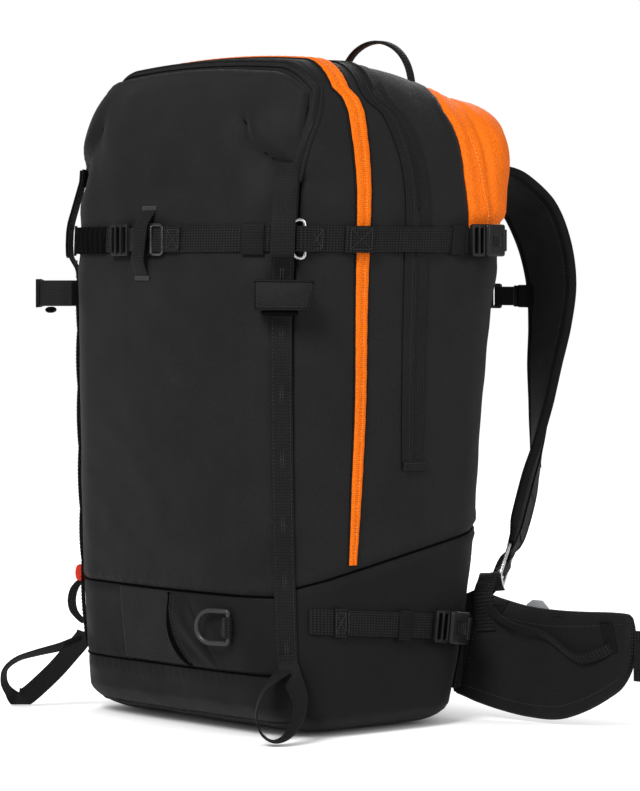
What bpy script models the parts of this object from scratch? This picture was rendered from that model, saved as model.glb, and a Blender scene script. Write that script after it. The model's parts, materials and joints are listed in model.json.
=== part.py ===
"""Airbag backpack for snow touring: bag panels, webbing, buckles, carrying system and inflation system.

Units are metres. +Z is up, -Y is the front of the bag, +Y is the side that lies on the wearer's back,
+X is the wearer's right. The origin is on the floor, under the middle of the flat base.
"""

import math

import bmesh
import bpy
from mathutils import Matrix, Vector

# ---- Bag ----
HEIGHT = 0.6075
HALF_WIDTH = 0.158
HALF_DEPTH = 0.137          # reference for the rounding of the upright edges
CORNER_RADIUS = 0.0548
CROWN_RADIUS = 0.0907
BASE_RADIUS = 0.0205
SIDE_BULGE = 0.028          # share of the half width
FRONT_BULGE = 0.018
TOE_LIFT = 0.0118           # rise of the base towards the front edge
TOE_HEIGHT = 0.095
FRONT_PROFILE = ((0.0, -0.1304), (0.16, -0.1371), (0.40, -0.1418), (0.68, -0.1436), (0.87, -0.1381), (1.0, -0.1318))
BACK_PROFILE = ((0.0, 0.0735), (0.10, 0.0917), (0.24, 0.1092), (0.48, 0.1245), (0.71, 0.1443), (0.89, 0.1611), (1.0, 0.1775))
CROWN_PROFILE = ((-1.0, -0.0107), (-0.5, -0.0111), (0.0, -0.0187), (0.5, -0.0397), (1.0, -0.0504))
CROWN_SIDE_DROP = 0.0107
FABRIC = 0.0022
SEAM_GAP = 0.0004

FRONT_SEAM = -0.80          # share of the depth, in cube coordinates
PANEL_SEAM = 0.38
BACK_OPENING = 0.80
POCKET_BOTTOM_Z = 0.050
BOOT_SEAM_Z = 0.1535         # at mid depth
BOOT_SEAM_RISE = 0.0245      # per half depth, towards the back
BACK_FOOT_Z = 0.020
POCKET_SEAM_Z = 0.124
HOOD_SEAM_Z = 0.449
TOP_OPENING_Z = 0.585
BACK_PAD = 0.009
LUMBAR_PAD = 0.022
PAD_FACE = LUMBAR_PAD + 0.0074   # of the lumbar pad, above the bag
LUMBAR_LOW = 0.028
LUMBAR_HIGH = 0.106
LUMBAR_HALF_WIDTH = 6 / 7     # share of the half width, in cube coordinates
LUMBAR_FACE_HALF_WIDTH = 0.765

# ---- Webbing and hardware ----
WEB_WIDTH = 0.022
WEB = 0.0018
LIFT = 0.0006               # clearance of whatever lies on the bag
UPPER_STRAP_Z = 0.434
LOWER_STRAP_Z = 0.104
LOWER_STRAP_Y = -0.120
LOWER_STRAP_SLOPE = -0.091
TAPE_WIDTH = 0.020
TAPE_TOP_Z = 0.502
TAPE_BOTTOM_Z = 0.068
TAPE_BOW = 0.0085
TAPE_BOW_HALF = 0.040
HOOK_HEIGHT = 0.033
HOOK_WIDTH = 0.0105
HOOK = 0.0022
UPPER_BUCKLE_Y = 0.086
LOWER_BUCKLE_Y = 0.042
BUCKLE_LENGTH = 0.024
BUCKLE_WIDTH = 0.029
BUCKLE = 0.0088
BUCKLE_WALL = 0.0024
PRONG_CLEARANCE = 0.0005
TONGUE = 0.0028
TONGUE_FRAME = 0.017
FRONT_BUCKLE_X = -0.040
FRONT_BUCKLE_WIDTH = 0.030
FRONT_RING_X = 0.0035
FRONT_RING_WIDTH = 0.034
FRONT_HARDWARE_HEIGHT = 0.029

# ---- Zips ----
ZIP_LIFT = 0.0006
ZIP = 0.0014
BURST_ZIP_V = -0.40
BURST_ZIP_WIDTH = 0.017
BURST_ZIP_END_Z = 0.150
MAIN_ZIP_V = 0.06
MAIN_ZIP_WIDTH = 0.027
MAIN_ZIP_END_Z = 0.235
SLIDER_LENGTH = 0.013
SLIDER_WIDTH = 0.009
SLIDER = 0.005
SLIDER_Z = 0.262

# ---- Loops and rings ----
HAUL_HALF_WIDTH = 0.050
HAUL_HEIGHT = 0.054
HAUL_RADIUS = 0.0026
HAUL_Y = 0.107
RING_BAR_X = 0.092
RING_BAR_Z = 0.096
RING_HALF_HEIGHT = 0.0150
RING_DEPTH = 0.036
RING_RADIUS = 0.0022
RING_ANGLE = math.radians(30)
AXE_LOOP_Z = 0.066
AXE_LOOP_REACH = 0.074
AXE_LOOP_WEB = 0.0016
AXE_LOOP_LIFT = LIFT + WEB + 0.0012
AXE_LOOP_WAY = (0.42, -0.91, 0)
AXE_LOOP_PATH = ((0.0, 0.0), (0.14, -0.12), (0.38, -0.34), (0.66, -0.58), (0.90, -0.74), (1.02, -0.70), (1.04, -0.56),
                 (0.95, -0.42), (0.76, -0.30), (0.50, -0.18), (0.26, -0.02), (0.10, 0.10))   # shares of the reach
AXE_HOLDER_Z = 0.384
AXE_HOLDER_HEIGHT = 0.023
AXE_HOLDER_HALF_WIDTH = 0.022
AXE_HOLDER_DEPTH = 0.030

# ---- Carrying system ----
STRAP_WIDTH_TOP = 0.068
STRAP_WIDTH_END = 0.044
STRAP = 0.0095
STRAP_ROUTE = (
    (0.060, 0.1683, 0.498), (0.063, 0.1820, 0.4995), (0.067, 0.2050, 0.4920), (0.073, 0.2330, 0.4680),
    (0.080, 0.2480, 0.4340), (0.085, 0.2535, 0.3950), (0.088, 0.2490, 0.3560), (0.090, 0.2400, 0.3160),
    (0.092, 0.2330, 0.2755), (0.097, 0.2230, 0.2420), (0.102, 0.2090, 0.2080), (0.108, 0.1900, 0.1720),
    (0.112, 0.1760, 0.1500),
)
STRAP_TURN = (0, 0, 0, 0, -2, -5, -11, -19, -30, -43, -56, -58, -53)   # degrees of turn of the strap's width
YOKE_Z = 0.498
ADJUSTER_WIDTH = 0.029
ADJUSTER_HEIGHT = 0.036
ADJUSTER = 0.0030
LOWER_WEB_WIDTH = 0.020
LOWER_WEB_X = 0.1125
LOWER_WEB_FOOT_Z = 0.062
STERNUM_Z = 0.3825
STERNUM_WIDTH = 0.018
STERNUM_WEB = 0.0015
STERNUM_BUCKLE_LENGTH = 0.021
STERNUM_BUCKLE_WIDTH = 0.024
HANDLE_LENGTH = 0.088
HANDLE_WIDTH = 0.019
HANDLE = 0.011
HANDLE_Z = 0.322
HANDLE_BASE = 0.0030         # the handle's bed above the strap's face

# ---- Hip belt ----
WING_ROUTE = ((0.1392, 0.1080), (0.162, 0.1165), (0.190, 0.1240), (0.222, 0.1290), (0.252, 0.1332), (0.280, 0.1371), (0.303, 0.1405))
WING_TOP_Z = (0.1150, 0.1085, 0.1030, 0.1016, 0.1022, 0.1034, 0.1030)
WING_BOTTOM_Z = (0.0150, 0.0090, 0.0050, 0.0055, 0.0155, 0.0310, 0.0480)
WING = 0.011
HIP_WEB_WIDTH = 0.045
HIP_WEB = 0.0020
HIP_WEB_Z = 0.0675
HIP_WEB_ROUTE = ((0.3036, 0.1406), (0.318, 0.1428), (0.334, 0.1466), (0.350, 0.1530), (0.364, 0.1650), (0.371, 0.1810), (0.372, 0.1980))
HIP_BUCKLE_LENGTH = 0.046
HIP_BUCKLE_WIDTH = 0.052
HIP_BUCKLE = 0.012

# ---- Inflation system ----
CARTRIDGE_RADIUS = 0.029
CARTRIDGE_LENGTH = 0.205
CARTRIDGE_X = -0.085
CARTRIDGE_Y = 0.045
CARTRIDGE_Z = 0.160
NECK_RADIUS = 0.0125
NECK_LENGTH = 0.022
UNIT_SIZE = 0.056
UNIT_HEIGHT = 0.060
PIN_RADIUS = 0.0030
PIN_DEPTH = 0.018
PIN_LENGTH = 0.026
PIN_TRAVEL = 0.006
CABLE_RADIUS = 0.0021
CABLE_EXIT_Z = 0.438
BLADDER_HALF_WIDTH = 0.112
BLADDER_FRONT_Y = -0.020
BLADDER_Z = (0.4479, 0.520)
STAY_WIDTH = 0.022
STAY = 0.0030

ALONG = 14                  # cuts of the cage along each of its edges
ARC_STEPS = 10


# ---- Scene and materials ----
def clear_scene():
    for item in list(bpy.data.objects):
        bpy.data.objects.remove(item, do_unlink=True)


def collection(name, hidden=False):
    group = bpy.data.collections.new(name)
    bpy.context.scene.collection.children.link(group)
    group.hide_render = hidden
    return group


def finish(name, colour, roughness, metallic=0.0):
    surface = bpy.data.materials.new(name)
    surface.use_nodes = True
    shader = surface.node_tree.nodes["Principled BSDF"]
    shader.inputs["Base Color"].default_value = (*colour, 1.0)
    shader.inputs["Roughness"].default_value = roughness
    shader.inputs["Metallic"].default_value = metallic
    return surface


clear_scene()
PARTS = collection("airbag_backpack")
CUTTERS = collection("cutters", hidden=True)
FABRIC_BLACK = finish("black_fabric", (0.020, 0.020, 0.021), 0.75)
FABRIC_DARK = finish("dark_fabric", (0.014, 0.014, 0.015), 0.80)
FABRIC_ORANGE = finish("orange_fabric", (1.0, 0.17, 0.008), 0.60)
WEBBING = finish("webbing", (0.012, 0.012, 0.013), 0.85)
FOAM = finish("padding", (0.022, 0.022, 0.024), 0.90)
PLASTIC = finish("buckle_plastic", (0.016, 0.016, 0.017), 0.40)
METAL = finish("buckle_metal", (0.62, 0.62, 0.63), 0.30, 1.0)
ZIP_TAPE = finish("zip_tape", (0.010, 0.010, 0.011), 0.50)
BLADDER = finish("bladder_fabric", (0.85, 0.25, 0.02), 0.55)
RED_GRIP = finish("trigger_grip", (0.60, 0.03, 0.01), 0.45)


def place(name, data, surface, group=None):
    item = bpy.data.objects.new(name, data)
    data.materials.append(surface)
    (group or PARTS).objects.link(item)
    return item


def from_bmesh(name, shape, surface, smooth=True, group=None):
    data = bpy.data.meshes.new(name)
    shape.to_mesh(data)
    shape.free()
    if smooth:
        data.shade_smooth()
        data.set_sharp_from_angle(angle=math.radians(40))
    return place(name, data, surface, group)


# ---- The bag's surface ----
def clamp(value, low=0.0, high=1.0):
    return max(low, min(high, value))


def profile(points, at):
    """A smooth curve through (position, value) points."""
    at = clamp(at, points[0][0], points[-1][0])
    for first, (low, high) in enumerate(zip(points, points[1:])):
        if at <= high[0]:
            break
    before = points[max(first - 1, 0)]
    after = points[min(first + 2, len(points) - 1)]
    span = high[0] - low[0]
    slope_low = (high[1] - before[1]) / (high[0] - before[0]) * span
    slope_high = (after[1] - low[1]) / (after[0] - low[0]) * span
    t = (at - low[0]) / span
    square, cube = t * t, t * t * t
    return ((2 * cube - 3 * square + 1) * low[1] + (cube - 2 * square + t) * slope_low
            + (3 * square - 2 * cube) * high[1] + (cube - square) * slope_high)


def rounded(u, v, w):
    """A point of the cube from -1 to 1 moved onto a box with round edges."""
    spans = (CORNER_RADIUS / HALF_WIDTH, CORNER_RADIUS / HALF_DEPTH,
             (CROWN_RADIUS if w > 0 else BASE_RADIUS) / (HEIGHT / 2))
    point = (u, v, w)
    cores = [clamp(value, span - 1, 1 - span) for value, span in zip(point, spans)]
    away = [(value - core) / span for value, core, span in zip(point, cores, spans)]
    length = math.sqrt(sum(value * value for value in away))
    if length < 1e-9:
        return point
    share = max(abs(value) for value in away) / length
    return tuple(core + value * share * span for core, value, span in zip(cores, away, spans))


def bag(u, v, w):
    """The bag's surface over a point of the cube."""
    u, v, w = rounded(u, v, w)
    z = (w + 1) / 2 * HEIGHT
    level = z / HEIGHT
    forward = clamp(-v)
    front = profile(FRONT_PROFILE, level)
    back = profile(BACK_PROFILE, level)
    x = u * HALF_WIDTH * (1 + SIDE_BULGE * (1 - v * v))
    y = front + (back - front) * (v + 1) / 2
    y -= FRONT_BULGE * (1 - u * u) * forward * math.sqrt(math.sin(math.pi * clamp(level)))
    top = clamp((level - 0.55) / 0.45) ** 2
    toe = clamp(1 - z / TOE_HEIGHT) ** 2 * clamp((forward - 0.3) / 0.7) ** 2
    z += top * (profile(CROWN_PROFILE, v) - CROWN_SIDE_DROP * u * u) + toe * TOE_LIFT
    return Vector((x, y, z))


def skin(u, v, w, lift=0.0):
    """The bag's surface, moved out by lift along its normal."""
    here = bag(u, v, w)
    if not lift:
        return here
    face = max(range(3), key=lambda i: abs((u, v, w)[i]))
    step = 0.004
    moves = [i for i in range(3) if i != face]
    ends = []
    for axis in moves:
        low, high = [u, v, w], [u, v, w]
        low[axis] = clamp(low[axis] - step, -1, 1)
        high[axis] = clamp(high[axis] + step, -1, 1)
        ends.append(bag(*high) - bag(*low))
    normal = ends[0].cross(ends[1]).normalized()
    core = Vector((0, 0, clamp(here.z, 0.1, HEIGHT - 0.12)))
    return here + normal * (lift if normal.dot(here - core) > 0 else -lift)


def level_of(z):
    return 2 * z / HEIGHT - 1


def around(turn, z, lift=0.0):
    """A point at height z. turn runs round the bag: 0 is the middle of the front, 1 the middle of the
    right side, 2 the middle of the back, and -1 the middle of the left side."""
    side = 1 if turn >= 0 else -1
    part = abs(turn)
    if part <= 0.5:
        u, v = 2 * part, -1.0
    elif part <= 1.5:
        u, v = 1.0, 2 * part - 2
    else:
        u, v = 2 * (2 - part), 1.0
    w = level_of(z)
    for _ in range(6):
        w += 2 * (z - bag(side * u, v, w).z) / HEIGHT
    return skin(side * u, v, clamp(w, -1, 1), lift)


def turn_at(y, z):
    """The turn at which the right side stands at depth y."""
    low, high = 0.5, 1.5
    for _ in range(30):
        middle = (low + high) / 2
        if around(middle, z).y < y:
            low = middle
        else:
            high = middle
    return low


def turn_at_x(x, z):
    """The turn at which the front stands at x."""
    low, high = 0.0, 0.5
    for _ in range(30):
        middle = (low + high) / 2
        if around(middle, z).x < abs(x):
            low = middle
        else:
            high = middle
    return math.copysign(low, x)


def flip(point, side):
    return Vector((point.x * side, point.y, point.z))


# ---- Builders ----
def face_out(shape):
    bmesh.ops.recalc_face_normals(shape, faces=shape.faces[:])
    if shape.calc_volume(signed=True) < 0:
        bmesh.ops.reverse_faces(shape, faces=shape.faces[:])


def seam(axis, value, lean=0.0):
    """A cutting plane in cube coordinates. lean tips a level plane up towards the back."""
    return axis, value, lean


def cage(seams):
    """The bag as a cube in cube coordinates, cut on both sides of each seam's gap."""
    shape = bmesh.new()
    bmesh.ops.create_cube(shape, size=2)
    bmesh.ops.subdivide_edges(shape, edges=shape.edges[:], cuts=ALONG - 1, use_grid_fill=True)
    halves = (SEAM_GAP / 2 / HALF_WIDTH, SEAM_GAP / 2 / HALF_DEPTH, SEAM_GAP / HEIGHT)
    for axis, value, lean in seams:
        for edge in (value - halves[axis], value + halves[axis]):
            slice_cage(shape, axis, edge, lean)
    for share in (0.35, 0.75):
        slice_cage(shape, 2, share * BASE_RADIUS * 2 / HEIGHT - 1)
    return shape


def slice_cage(shape, axis, value, lean=0.0):
    at, normal = [0, 0, 0], [0, 0, 0]
    at[axis], normal[axis] = value, 1
    if lean:
        normal[1] = -lean
    bmesh.ops.bisect_plane(shape, geom=shape.verts[:] + shape.edges[:] + shape.faces[:], dist=1e-7,
                           plane_co=at, plane_no=normal)


def panel(name, seams, wanted, surface, thickness=FABRIC, out=0.0):
    """The part of the cage whose faces are wanted, laid on the bag and given a wall."""
    shape = cage(seams)
    away = [face for face in shape.faces if not wanted(*face.calc_center_median())]
    bmesh.ops.delete(shape, geom=away, context="FACES")
    kept = list(shape.verts)
    made = bmesh.ops.extrude_face_region(shape, geom=shape.faces[:], use_keep_orig=True)
    moved = [item for item in made["geom"] if isinstance(item, bmesh.types.BMVert)]
    spots = {corner: tuple(corner.co) for corner in kept + moved}
    for corner in kept:
        corner.co = skin(*spots[corner], out)
    for corner in moved:
        corner.co = skin(*spots[corner], out - thickness)
    face_out(shape)
    return from_bmesh(name, shape, surface)


def slab(name, inner, outer, surface):
    """A closed sheet between two equal grids of points, inner[i][j] and outer[i][j]."""
    rows, columns = len(inner), len(inner[0])
    shape = bmesh.new()
    bmesh.ops.create_grid(shape, x_segments=rows - 1, y_segments=columns - 1, size=1)
    kept = list(shape.verts)
    made = bmesh.ops.extrude_face_region(shape, geom=shape.faces[:], use_keep_orig=True)
    moved = [item for item in made["geom"] if isinstance(item, bmesh.types.BMVert)]
    for corners, grid in ((kept, inner), (moved, outer)):
        for corner in corners:
            i = round((corner.co.x + 1) / 2 * (rows - 1))
            j = round((corner.co.y + 1) / 2 * (columns - 1))
            corner.co = grid[i][j]
    face_out(shape)
    return from_bmesh(name, shape, surface)


def band(name, spot, count, surface, thickness, lift, columns=3, extra=lambda s: 0.0):
    """A strip lying on the bag. spot(s, side, lift) gives its points, with s and side from 0 to 1 and -1 to 1."""
    grids = []
    for height in (0.0, thickness):
        grids.append([[spot(i / (count - 1), 2 * j / (columns - 1) - 1, lift + extra(i / (count - 1)) + height)
                       for j in range(columns)] for i in range(count)])
    return slab(name, grids[0], grids[1], surface)


def swept(name, route, sides, thickness, surface, outward):
    """A flat strip along route. sides are its half-width vectors and outward its face directions."""
    inner = [[point - half, point + half] for point, half in zip(route, sides)]
    outer = [[corner + way * thickness for corner in row] for row, way in zip(inner, outward)]
    return slab(name, inner, outer, surface)


def box(name, low, high, surface, bevel=0.0, at=None, group=None):
    low, high = Vector(low), Vector(high)
    shape = bmesh.new()
    bmesh.ops.create_cube(shape, size=1)
    for corner in shape.verts:
        corner.co = Vector([(low[i] + high[i]) / 2 + corner.co[i] * (high[i] - low[i]) for i in range(3)])
    item = from_bmesh(name, shape, surface, False, group)
    if at:
        item.matrix_world = at
    if bevel:
        edge = item.modifiers.new("edges", "BEVEL")
        edge.width = bevel
        edge.segments = 2
    return item


def outline(name, loops, thickness, surface, at):
    """A flat plate: the first loop is its edge and the others are holes."""
    data = bpy.data.curves.new(name, "CURVE")
    data.dimensions = "2D"
    data.fill_mode = "BOTH"
    data.extrude = thickness / 2
    for loop in loops:
        spline = data.splines.new("POLY")
        spline.points.add(len(loop) - 1)
        for point, (x, y) in zip(spline.points, loop):
            point.co = (x, y, 0, 1)
        spline.use_cyclic_u = True
    item = place(name, data, surface)
    item.matrix_world = at
    return item


def oblong(x0, x1, y0, y1, cut=0.0):
    """A rectangle with its corners cut off."""
    if not cut:
        return [(x0, y0), (x1, y0), (x1, y1), (x0, y1)]
    return [(x0 + cut, y0), (x1 - cut, y0), (x1, y0 + cut), (x1, y1 - cut),
            (x1 - cut, y1), (x0 + cut, y1), (x0, y1 - cut), (x0, y0 + cut)]


def tube(name, route, radius, surface, closed=False, resolution=2, ends=1.0):
    """A round tube. ends is the share of the radius left at its two ends."""
    data = bpy.data.curves.new(name, "CURVE")
    data.dimensions = "3D"
    data.bevel_depth = radius
    data.bevel_resolution = resolution
    data.use_fill_caps = not closed
    spline = data.splines.new("POLY")
    spline.points.add(len(route) - 1)
    for point, place_at in zip(spline.points, route):
        point.co = (*place_at, 1)
    spline.use_cyclic_u = closed
    spline.points[0].radius = ends
    spline.points[-1].radius = ends
    return place(name, data, surface)


def turned(name, outer_profile, surface, at, steps=20):
    """A profile of (radius, height) points, from top to bottom, turned about the Z axis."""
    data = bpy.data.meshes.new(name)
    data.from_pydata([(radius, 0, height) for radius, height in outer_profile],
                     [(i, i + 1) for i in range(len(outer_profile) - 1)], [])
    item = place(name, data, surface)
    item.location = at
    screw = item.modifiers.new("turn", "SCREW")
    screw.steps = steps
    screw.render_steps = steps
    screw.use_merge_vertices = True
    screw.merge_threshold = 0.0001
    return item


def cut(item, cutter):
    cutter.display_type = "WIRE"
    cutter.hide_render = True
    hole = item.modifiers.new("opening", "BOOLEAN")
    hole.operation = "DIFFERENCE"
    hole.solver = "EXACT"
    hole.object = cutter


def smooth_route(points, steps):
    """Points read from a smooth curve through the given points."""
    found = []
    for i in range(len(points) - 1):
        a, b = Vector(points[i]), Vector(points[i + 1])
        before = Vector(points[i - 1]) if i else a - (b - a)
        after = Vector(points[i + 2]) if i + 2 < len(points) else b + (b - a)
        for step in range(steps):
            t = step / steps
            found.append(0.5 * (2 * a + (b - before) * t + (2 * before - 5 * a + 4 * b - after) * t * t
                                + (3 * a - before - 3 * b + after) * t ** 3))
    return found + [Vector(points[-1])]


def frame_at(origin, along, out):
    """A matrix whose X is along, whose Z is out, and whose Y completes them."""
    along, out = along.normalized(), out.normalized()
    across = out.cross(along).normalized()
    out = along.cross(across)
    axes = Matrix((along, across, out)).transposed().to_4x4()
    axes.translation = origin
    return axes


# ---- Bag panels ----
def make_panels():
    pocket_low, pocket_top = level_of(POCKET_BOTTOM_Z), level_of(POCKET_SEAM_Z)
    boot, lean = level_of(BOOT_SEAM_Z), 2 * BOOT_SEAM_RISE / HEIGHT
    hood, opening = level_of(HOOD_SEAM_Z), level_of(TOP_OPENING_Z)
    foot = level_of(BACK_FOOT_Z)
    half_u, half_v, half_w = SEAM_GAP / 2 / HALF_WIDTH, SEAM_GAP / 2 / HALF_DEPTH, SEAM_GAP / HEIGHT
    front_seam, boot_seam = seam(1, FRONT_SEAM), seam(2, boot, lean)
    low_seam, pocket_seam = seam(2, pocket_low), seam(2, pocket_top)
    back_seams = [seam(0, -BACK_OPENING), seam(0, BACK_OPENING), seam(2, opening), seam(2, foot)]

    def in_opening(u, v, w, margin):
        inside = abs(u) < BACK_OPENING + margin * half_u
        return v > 0.999 and inside and foot - margin * half_w < w < opening + margin * half_w

    def in_hood(v, w):
        return v > PANEL_SEAM and w > hood

    def over_boot(v, w):
        return w - lean * v > boot + half_w

    def is_boot(u, v, w):
        if in_opening(u, v, w, 1):
            return False
        if v < FRONT_SEAM - half_v:
            return w < pocket_low - half_w
        return w < pocket_low or (v > FRONT_SEAM + half_v and w - lean * v < boot - half_w)

    def is_bag(u, v, w):
        hooded = v > PANEL_SEAM - half_v and w > hood - half_w
        return v > FRONT_SEAM + half_v and over_boot(v, w) and not hooded and not in_opening(u, v, w, 1)

    def is_hood(u, v, w):
        return v > PANEL_SEAM + half_v and w > hood + half_w and not in_opening(u, v, w, 1)

    panel("base_panel", [front_seam, low_seam, boot_seam] + back_seams, is_boot, FABRIC_DARK)
    panel("front_panel", [front_seam, pocket_seam], lambda u, v, w: v < FRONT_SEAM - half_v and w > pocket_top + half_w,
          FABRIC_BLACK)
    panel("lower_pocket", [front_seam, low_seam, pocket_seam],
          lambda u, v, w: v < FRONT_SEAM - half_v and pocket_low + half_w < w < pocket_top - half_w, FABRIC_BLACK)
    panel("main_bag", [front_seam, seam(1, PANEL_SEAM), boot_seam, seam(2, hood)] + back_seams, is_bag, FABRIC_BLACK)
    panel("orange_top_panel", [seam(1, PANEL_SEAM), seam(2, hood)] + back_seams, is_hood, FABRIC_ORANGE)
    panel("back_panel", back_seams, lambda u, v, w: in_opening(u, v, w, -1), FOAM, BACK_PAD, 0.0060)


# ---- Zips ----
def over_the_top(v, width, end_z):
    """spot() for a band that climbs the left side, crosses the top and comes down the right side."""
    end_w = level_of(end_z)
    rise = (1 - end_w)
    total = 2 * rise + 2

    def spot(s, side, lift):
        run = s * total
        across = width / 2 / HALF_DEPTH * side
        if run < rise:
            return skin(-1, v + across, end_w + run, lift)
        if run < rise + 2:
            return skin(run - rise - 1, v + across, 1, lift)
        return skin(1, v + across, 1 - (run - rise - 2), lift)
    return spot


def make_zips():
    band("airbag_burst_zip", over_the_top(BURST_ZIP_V, BURST_ZIP_WIDTH, BURST_ZIP_END_Z), 69,
         FABRIC_ORANGE, ZIP, ZIP_LIFT)
    band("main_zip", over_the_top(MAIN_ZIP_V, MAIN_ZIP_WIDTH, MAIN_ZIP_END_Z), 61, ZIP_TAPE, ZIP, ZIP_LIFT)


def make_zip_slider():
    w = level_of(SLIDER_Z)
    low = skin(-1, MAIN_ZIP_V, w, ZIP_LIFT + ZIP + 0.0004)
    box("main_zip_slider", (-SLIDER_LENGTH / 2, -SLIDER_WIDTH / 2, 0.0), (SLIDER_LENGTH / 2, SLIDER_WIDTH / 2, SLIDER),
        METAL, 0.0012, frame_at(low, Vector((0, 0, 1)), Vector((-1, 0, 0))))


# ---- Webbing on the bag ----
def tape_bow(z):
    reach = clamp(1 - abs(z - UPPER_STRAP_Z) / TAPE_BOW_HALF)
    return TAPE_BOW * reach * reach * (3 - 2 * reach)


def make_corner_tapes():
    for side, word in ((1, "right"), (-1, "left")):
        def spot(s, across, lift, side=side):
            z = TAPE_TOP_Z + (TAPE_BOTTOM_Z - TAPE_TOP_Z) * s
            middle = around(0.5, z, lift)
            beside = around(0.5 + 0.02, z, lift) - around(0.5 - 0.02, z, lift)
            return flip(middle + beside.normalized() * across * TAPE_WIDTH / 2, side)

        def bow(s):
            return tape_bow(TAPE_TOP_Z + (TAPE_BOTTOM_Z - TAPE_TOP_Z) * s) + 0.0002
        band("corner_tape_" + word, spot, 35, WEBBING, WEB, LIFT, 2, bow)


def level_band(name, start, end, z_at, width, count, surface, thickness, lift=LIFT, extra=lambda s: 0.0, side=1):
    """Webbing round the bag from one turn to another."""
    def spot(s, across, height):
        turn = start + (end - start) * s
        return flip(around(turn, z_at(s) + across * width / 2, height), side)
    return band(name, spot, count, surface, thickness, lift, 2, extra)


def over_zips(y, z):
    """How far webbing on the side has to stand off to clear the zips under it."""
    rise = 0.0
    for v, width in ((BURST_ZIP_V, BURST_ZIP_WIDTH), (MAIN_ZIP_V, MAIN_ZIP_WIDTH)):
        away = abs(y - skin(1, v, level_of(z)).y) - width / 2
        rise = max(rise, (ZIP_LIFT + ZIP + 0.0002) * clamp((0.014 - away) / 0.007))
    return rise


def make_upper_straps():
    z = UPPER_STRAP_Z
    hook_start = turn_at(-0.1215, z)
    hook_end = hook_start + 0.040
    ring_edge = turn_at_x(FRONT_RING_X + FRONT_RING_WIDTH / 2 + LIFT, z)
    buckle_edge = turn_at_x(FRONT_BUCKLE_X - FRONT_BUCKLE_WIDTH / 2 - LIFT, z)
    level_band("front_strap_right", ring_edge, hook_start - 0.004, lambda s: z, WEB_WIDTH, 17, WEBBING, WEB)
    level_band("front_strap_left", buckle_edge, -(hook_start - 0.004), lambda s: z, WEB_WIDTH, 15, WEBBING, WEB)
    rear = 1.475
    for side, word in ((1, "right"), (-1, "left")):
        level_band("corner_hook_" + word, hook_start, hook_end, lambda s: z, HOOK_HEIGHT, 5, METAL, HOOK, side=side)

        strap_start = hook_start + 0.006

        def over_hook(s):
            run = (s * (rear - strap_start)) / (hook_end - strap_start)
            over = (HOOK + LIFT) * clamp(2.2 - run)
            return max(over, over_zips(around(strap_start + s * (rear - strap_start), z).y, z))
        level_band("side_strap_" + word, strap_start, rear, lambda s: z, WEB_WIDTH, 43, WEBBING, WEB,
                   LIFT, over_hook, side)


def lower_z(y):
    return LOWER_STRAP_Z + LOWER_STRAP_SLOPE * (y - LOWER_STRAP_Y)


def make_lower_straps():
    start = turn_at(LOWER_STRAP_Y + 0.012, LOWER_STRAP_Z)
    end = 1.44
    for side, word in ((1, "right"), (-1, "left")):
        def spot(s, across, lift, side=side):
            turn = start + (end - start) * s
            z = LOWER_STRAP_Z
            for _ in range(3):
                z = lower_z(around(turn, z).y)
            return flip(around(turn, z + across * WEB_WIDTH / 2, lift), side)
        band("lower_strap_" + word, spot, 21, WEBBING, WEB, LIFT, 2)


def make_front_hardware():
    z = UPPER_STRAP_Z
    for name, x, width, surface, thickness, hole in (
            ("front_buckle", FRONT_BUCKLE_X, FRONT_BUCKLE_WIDTH, PLASTIC, 0.0065, 0.0060),
            ("front_ring", FRONT_RING_X, FRONT_RING_WIDTH, METAL, 0.0030, 0.0095)):
        half, tall = width / 2, FRONT_HARDWARE_HEIGHT / 2
        left = around(turn_at_x(x - width / 3, z), z)
        right = around(turn_at_x(x + width / 3, z), z)
        along = right - left
        out = along.cross(Vector((0, 0, 1))).normalized()
        # It stands clear of the highest point of the cloth under its edges.
        under = [around(turn_at_x(x + a * half, z + b * tall), z + b * tall) for a in (-1, 0, 1) for b in (-1, -0.5, 0, 0.5, 1)]
        seat = around(turn_at_x(x, z), z)
        rise = max((point - seat).dot(out) for point in under)
        middle = seat + out * (LIFT + thickness / 2 + max(0.0004, rise + 0.0002))
        at = frame_at(middle, along, out)
        bar = 0.0022
        wall = 0.0032
        loops = [oblong(-half, half, -tall, tall, 0.004)]
        loops.append(oblong(-half + wall, -half + wall + hole, -tall + wall, tall - wall))
        loops.append(oblong(half - wall - hole, half - wall, -tall + wall, tall - wall))
        if name == "front_ring":
            loops[1] = oblong(-half + wall, -bar, -tall + wall, tall - wall)
            loops[2] = oblong(bar, half - wall, -tall + wall, tall - wall)
        outline(name, loops, thickness, surface, at)


# ---- Side-release buckles ----
def make_socket(name, at, length, width, thickness, wall=BUCKLE_WALL):
    """A box open towards -X. at stands in the middle of the mouth, at the bottom of the buckle."""
    body = box(name, (0.0004, -width / 2, 0), (length, width / 2, thickness), PLASTIC, 0.0014, at)
    room = (-0.01, -width / 2 + wall, wall), (length - wall, width / 2 - wall, thickness - wall)
    cut(body, box(name + "_room", *room, PLASTIC, 0.0, at, CUTTERS))
    return body


def make_tongue(name, at, length, width, thickness, wall=BUCKLE_WALL, frame=TONGUE_FRAME):
    """A flat tongue: a frame that carries the webbing, and a prong plate that fills the socket's room."""
    half = width / 2
    prong = half - wall - PRONG_CLEARANCE
    reach = length - wall - PRONG_CLEARANCE
    loops = [[(-frame, -half), (-0.0004, -half), (-0.0004, -prong), (reach * 0.8, -prong), (reach, -prong * 0.5),
              (reach, prong * 0.5), (reach * 0.8, prong), (-0.0004, prong), (-0.0004, half), (-frame, half)]]
    loops.append(oblong(-frame + 0.003, -frame + 0.0085, -half + 0.003, half - 0.003))
    middle = at @ Matrix.Translation((0, 0, thickness / 2))
    return outline(name, loops, TONGUE, PLASTIC, middle)


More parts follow.
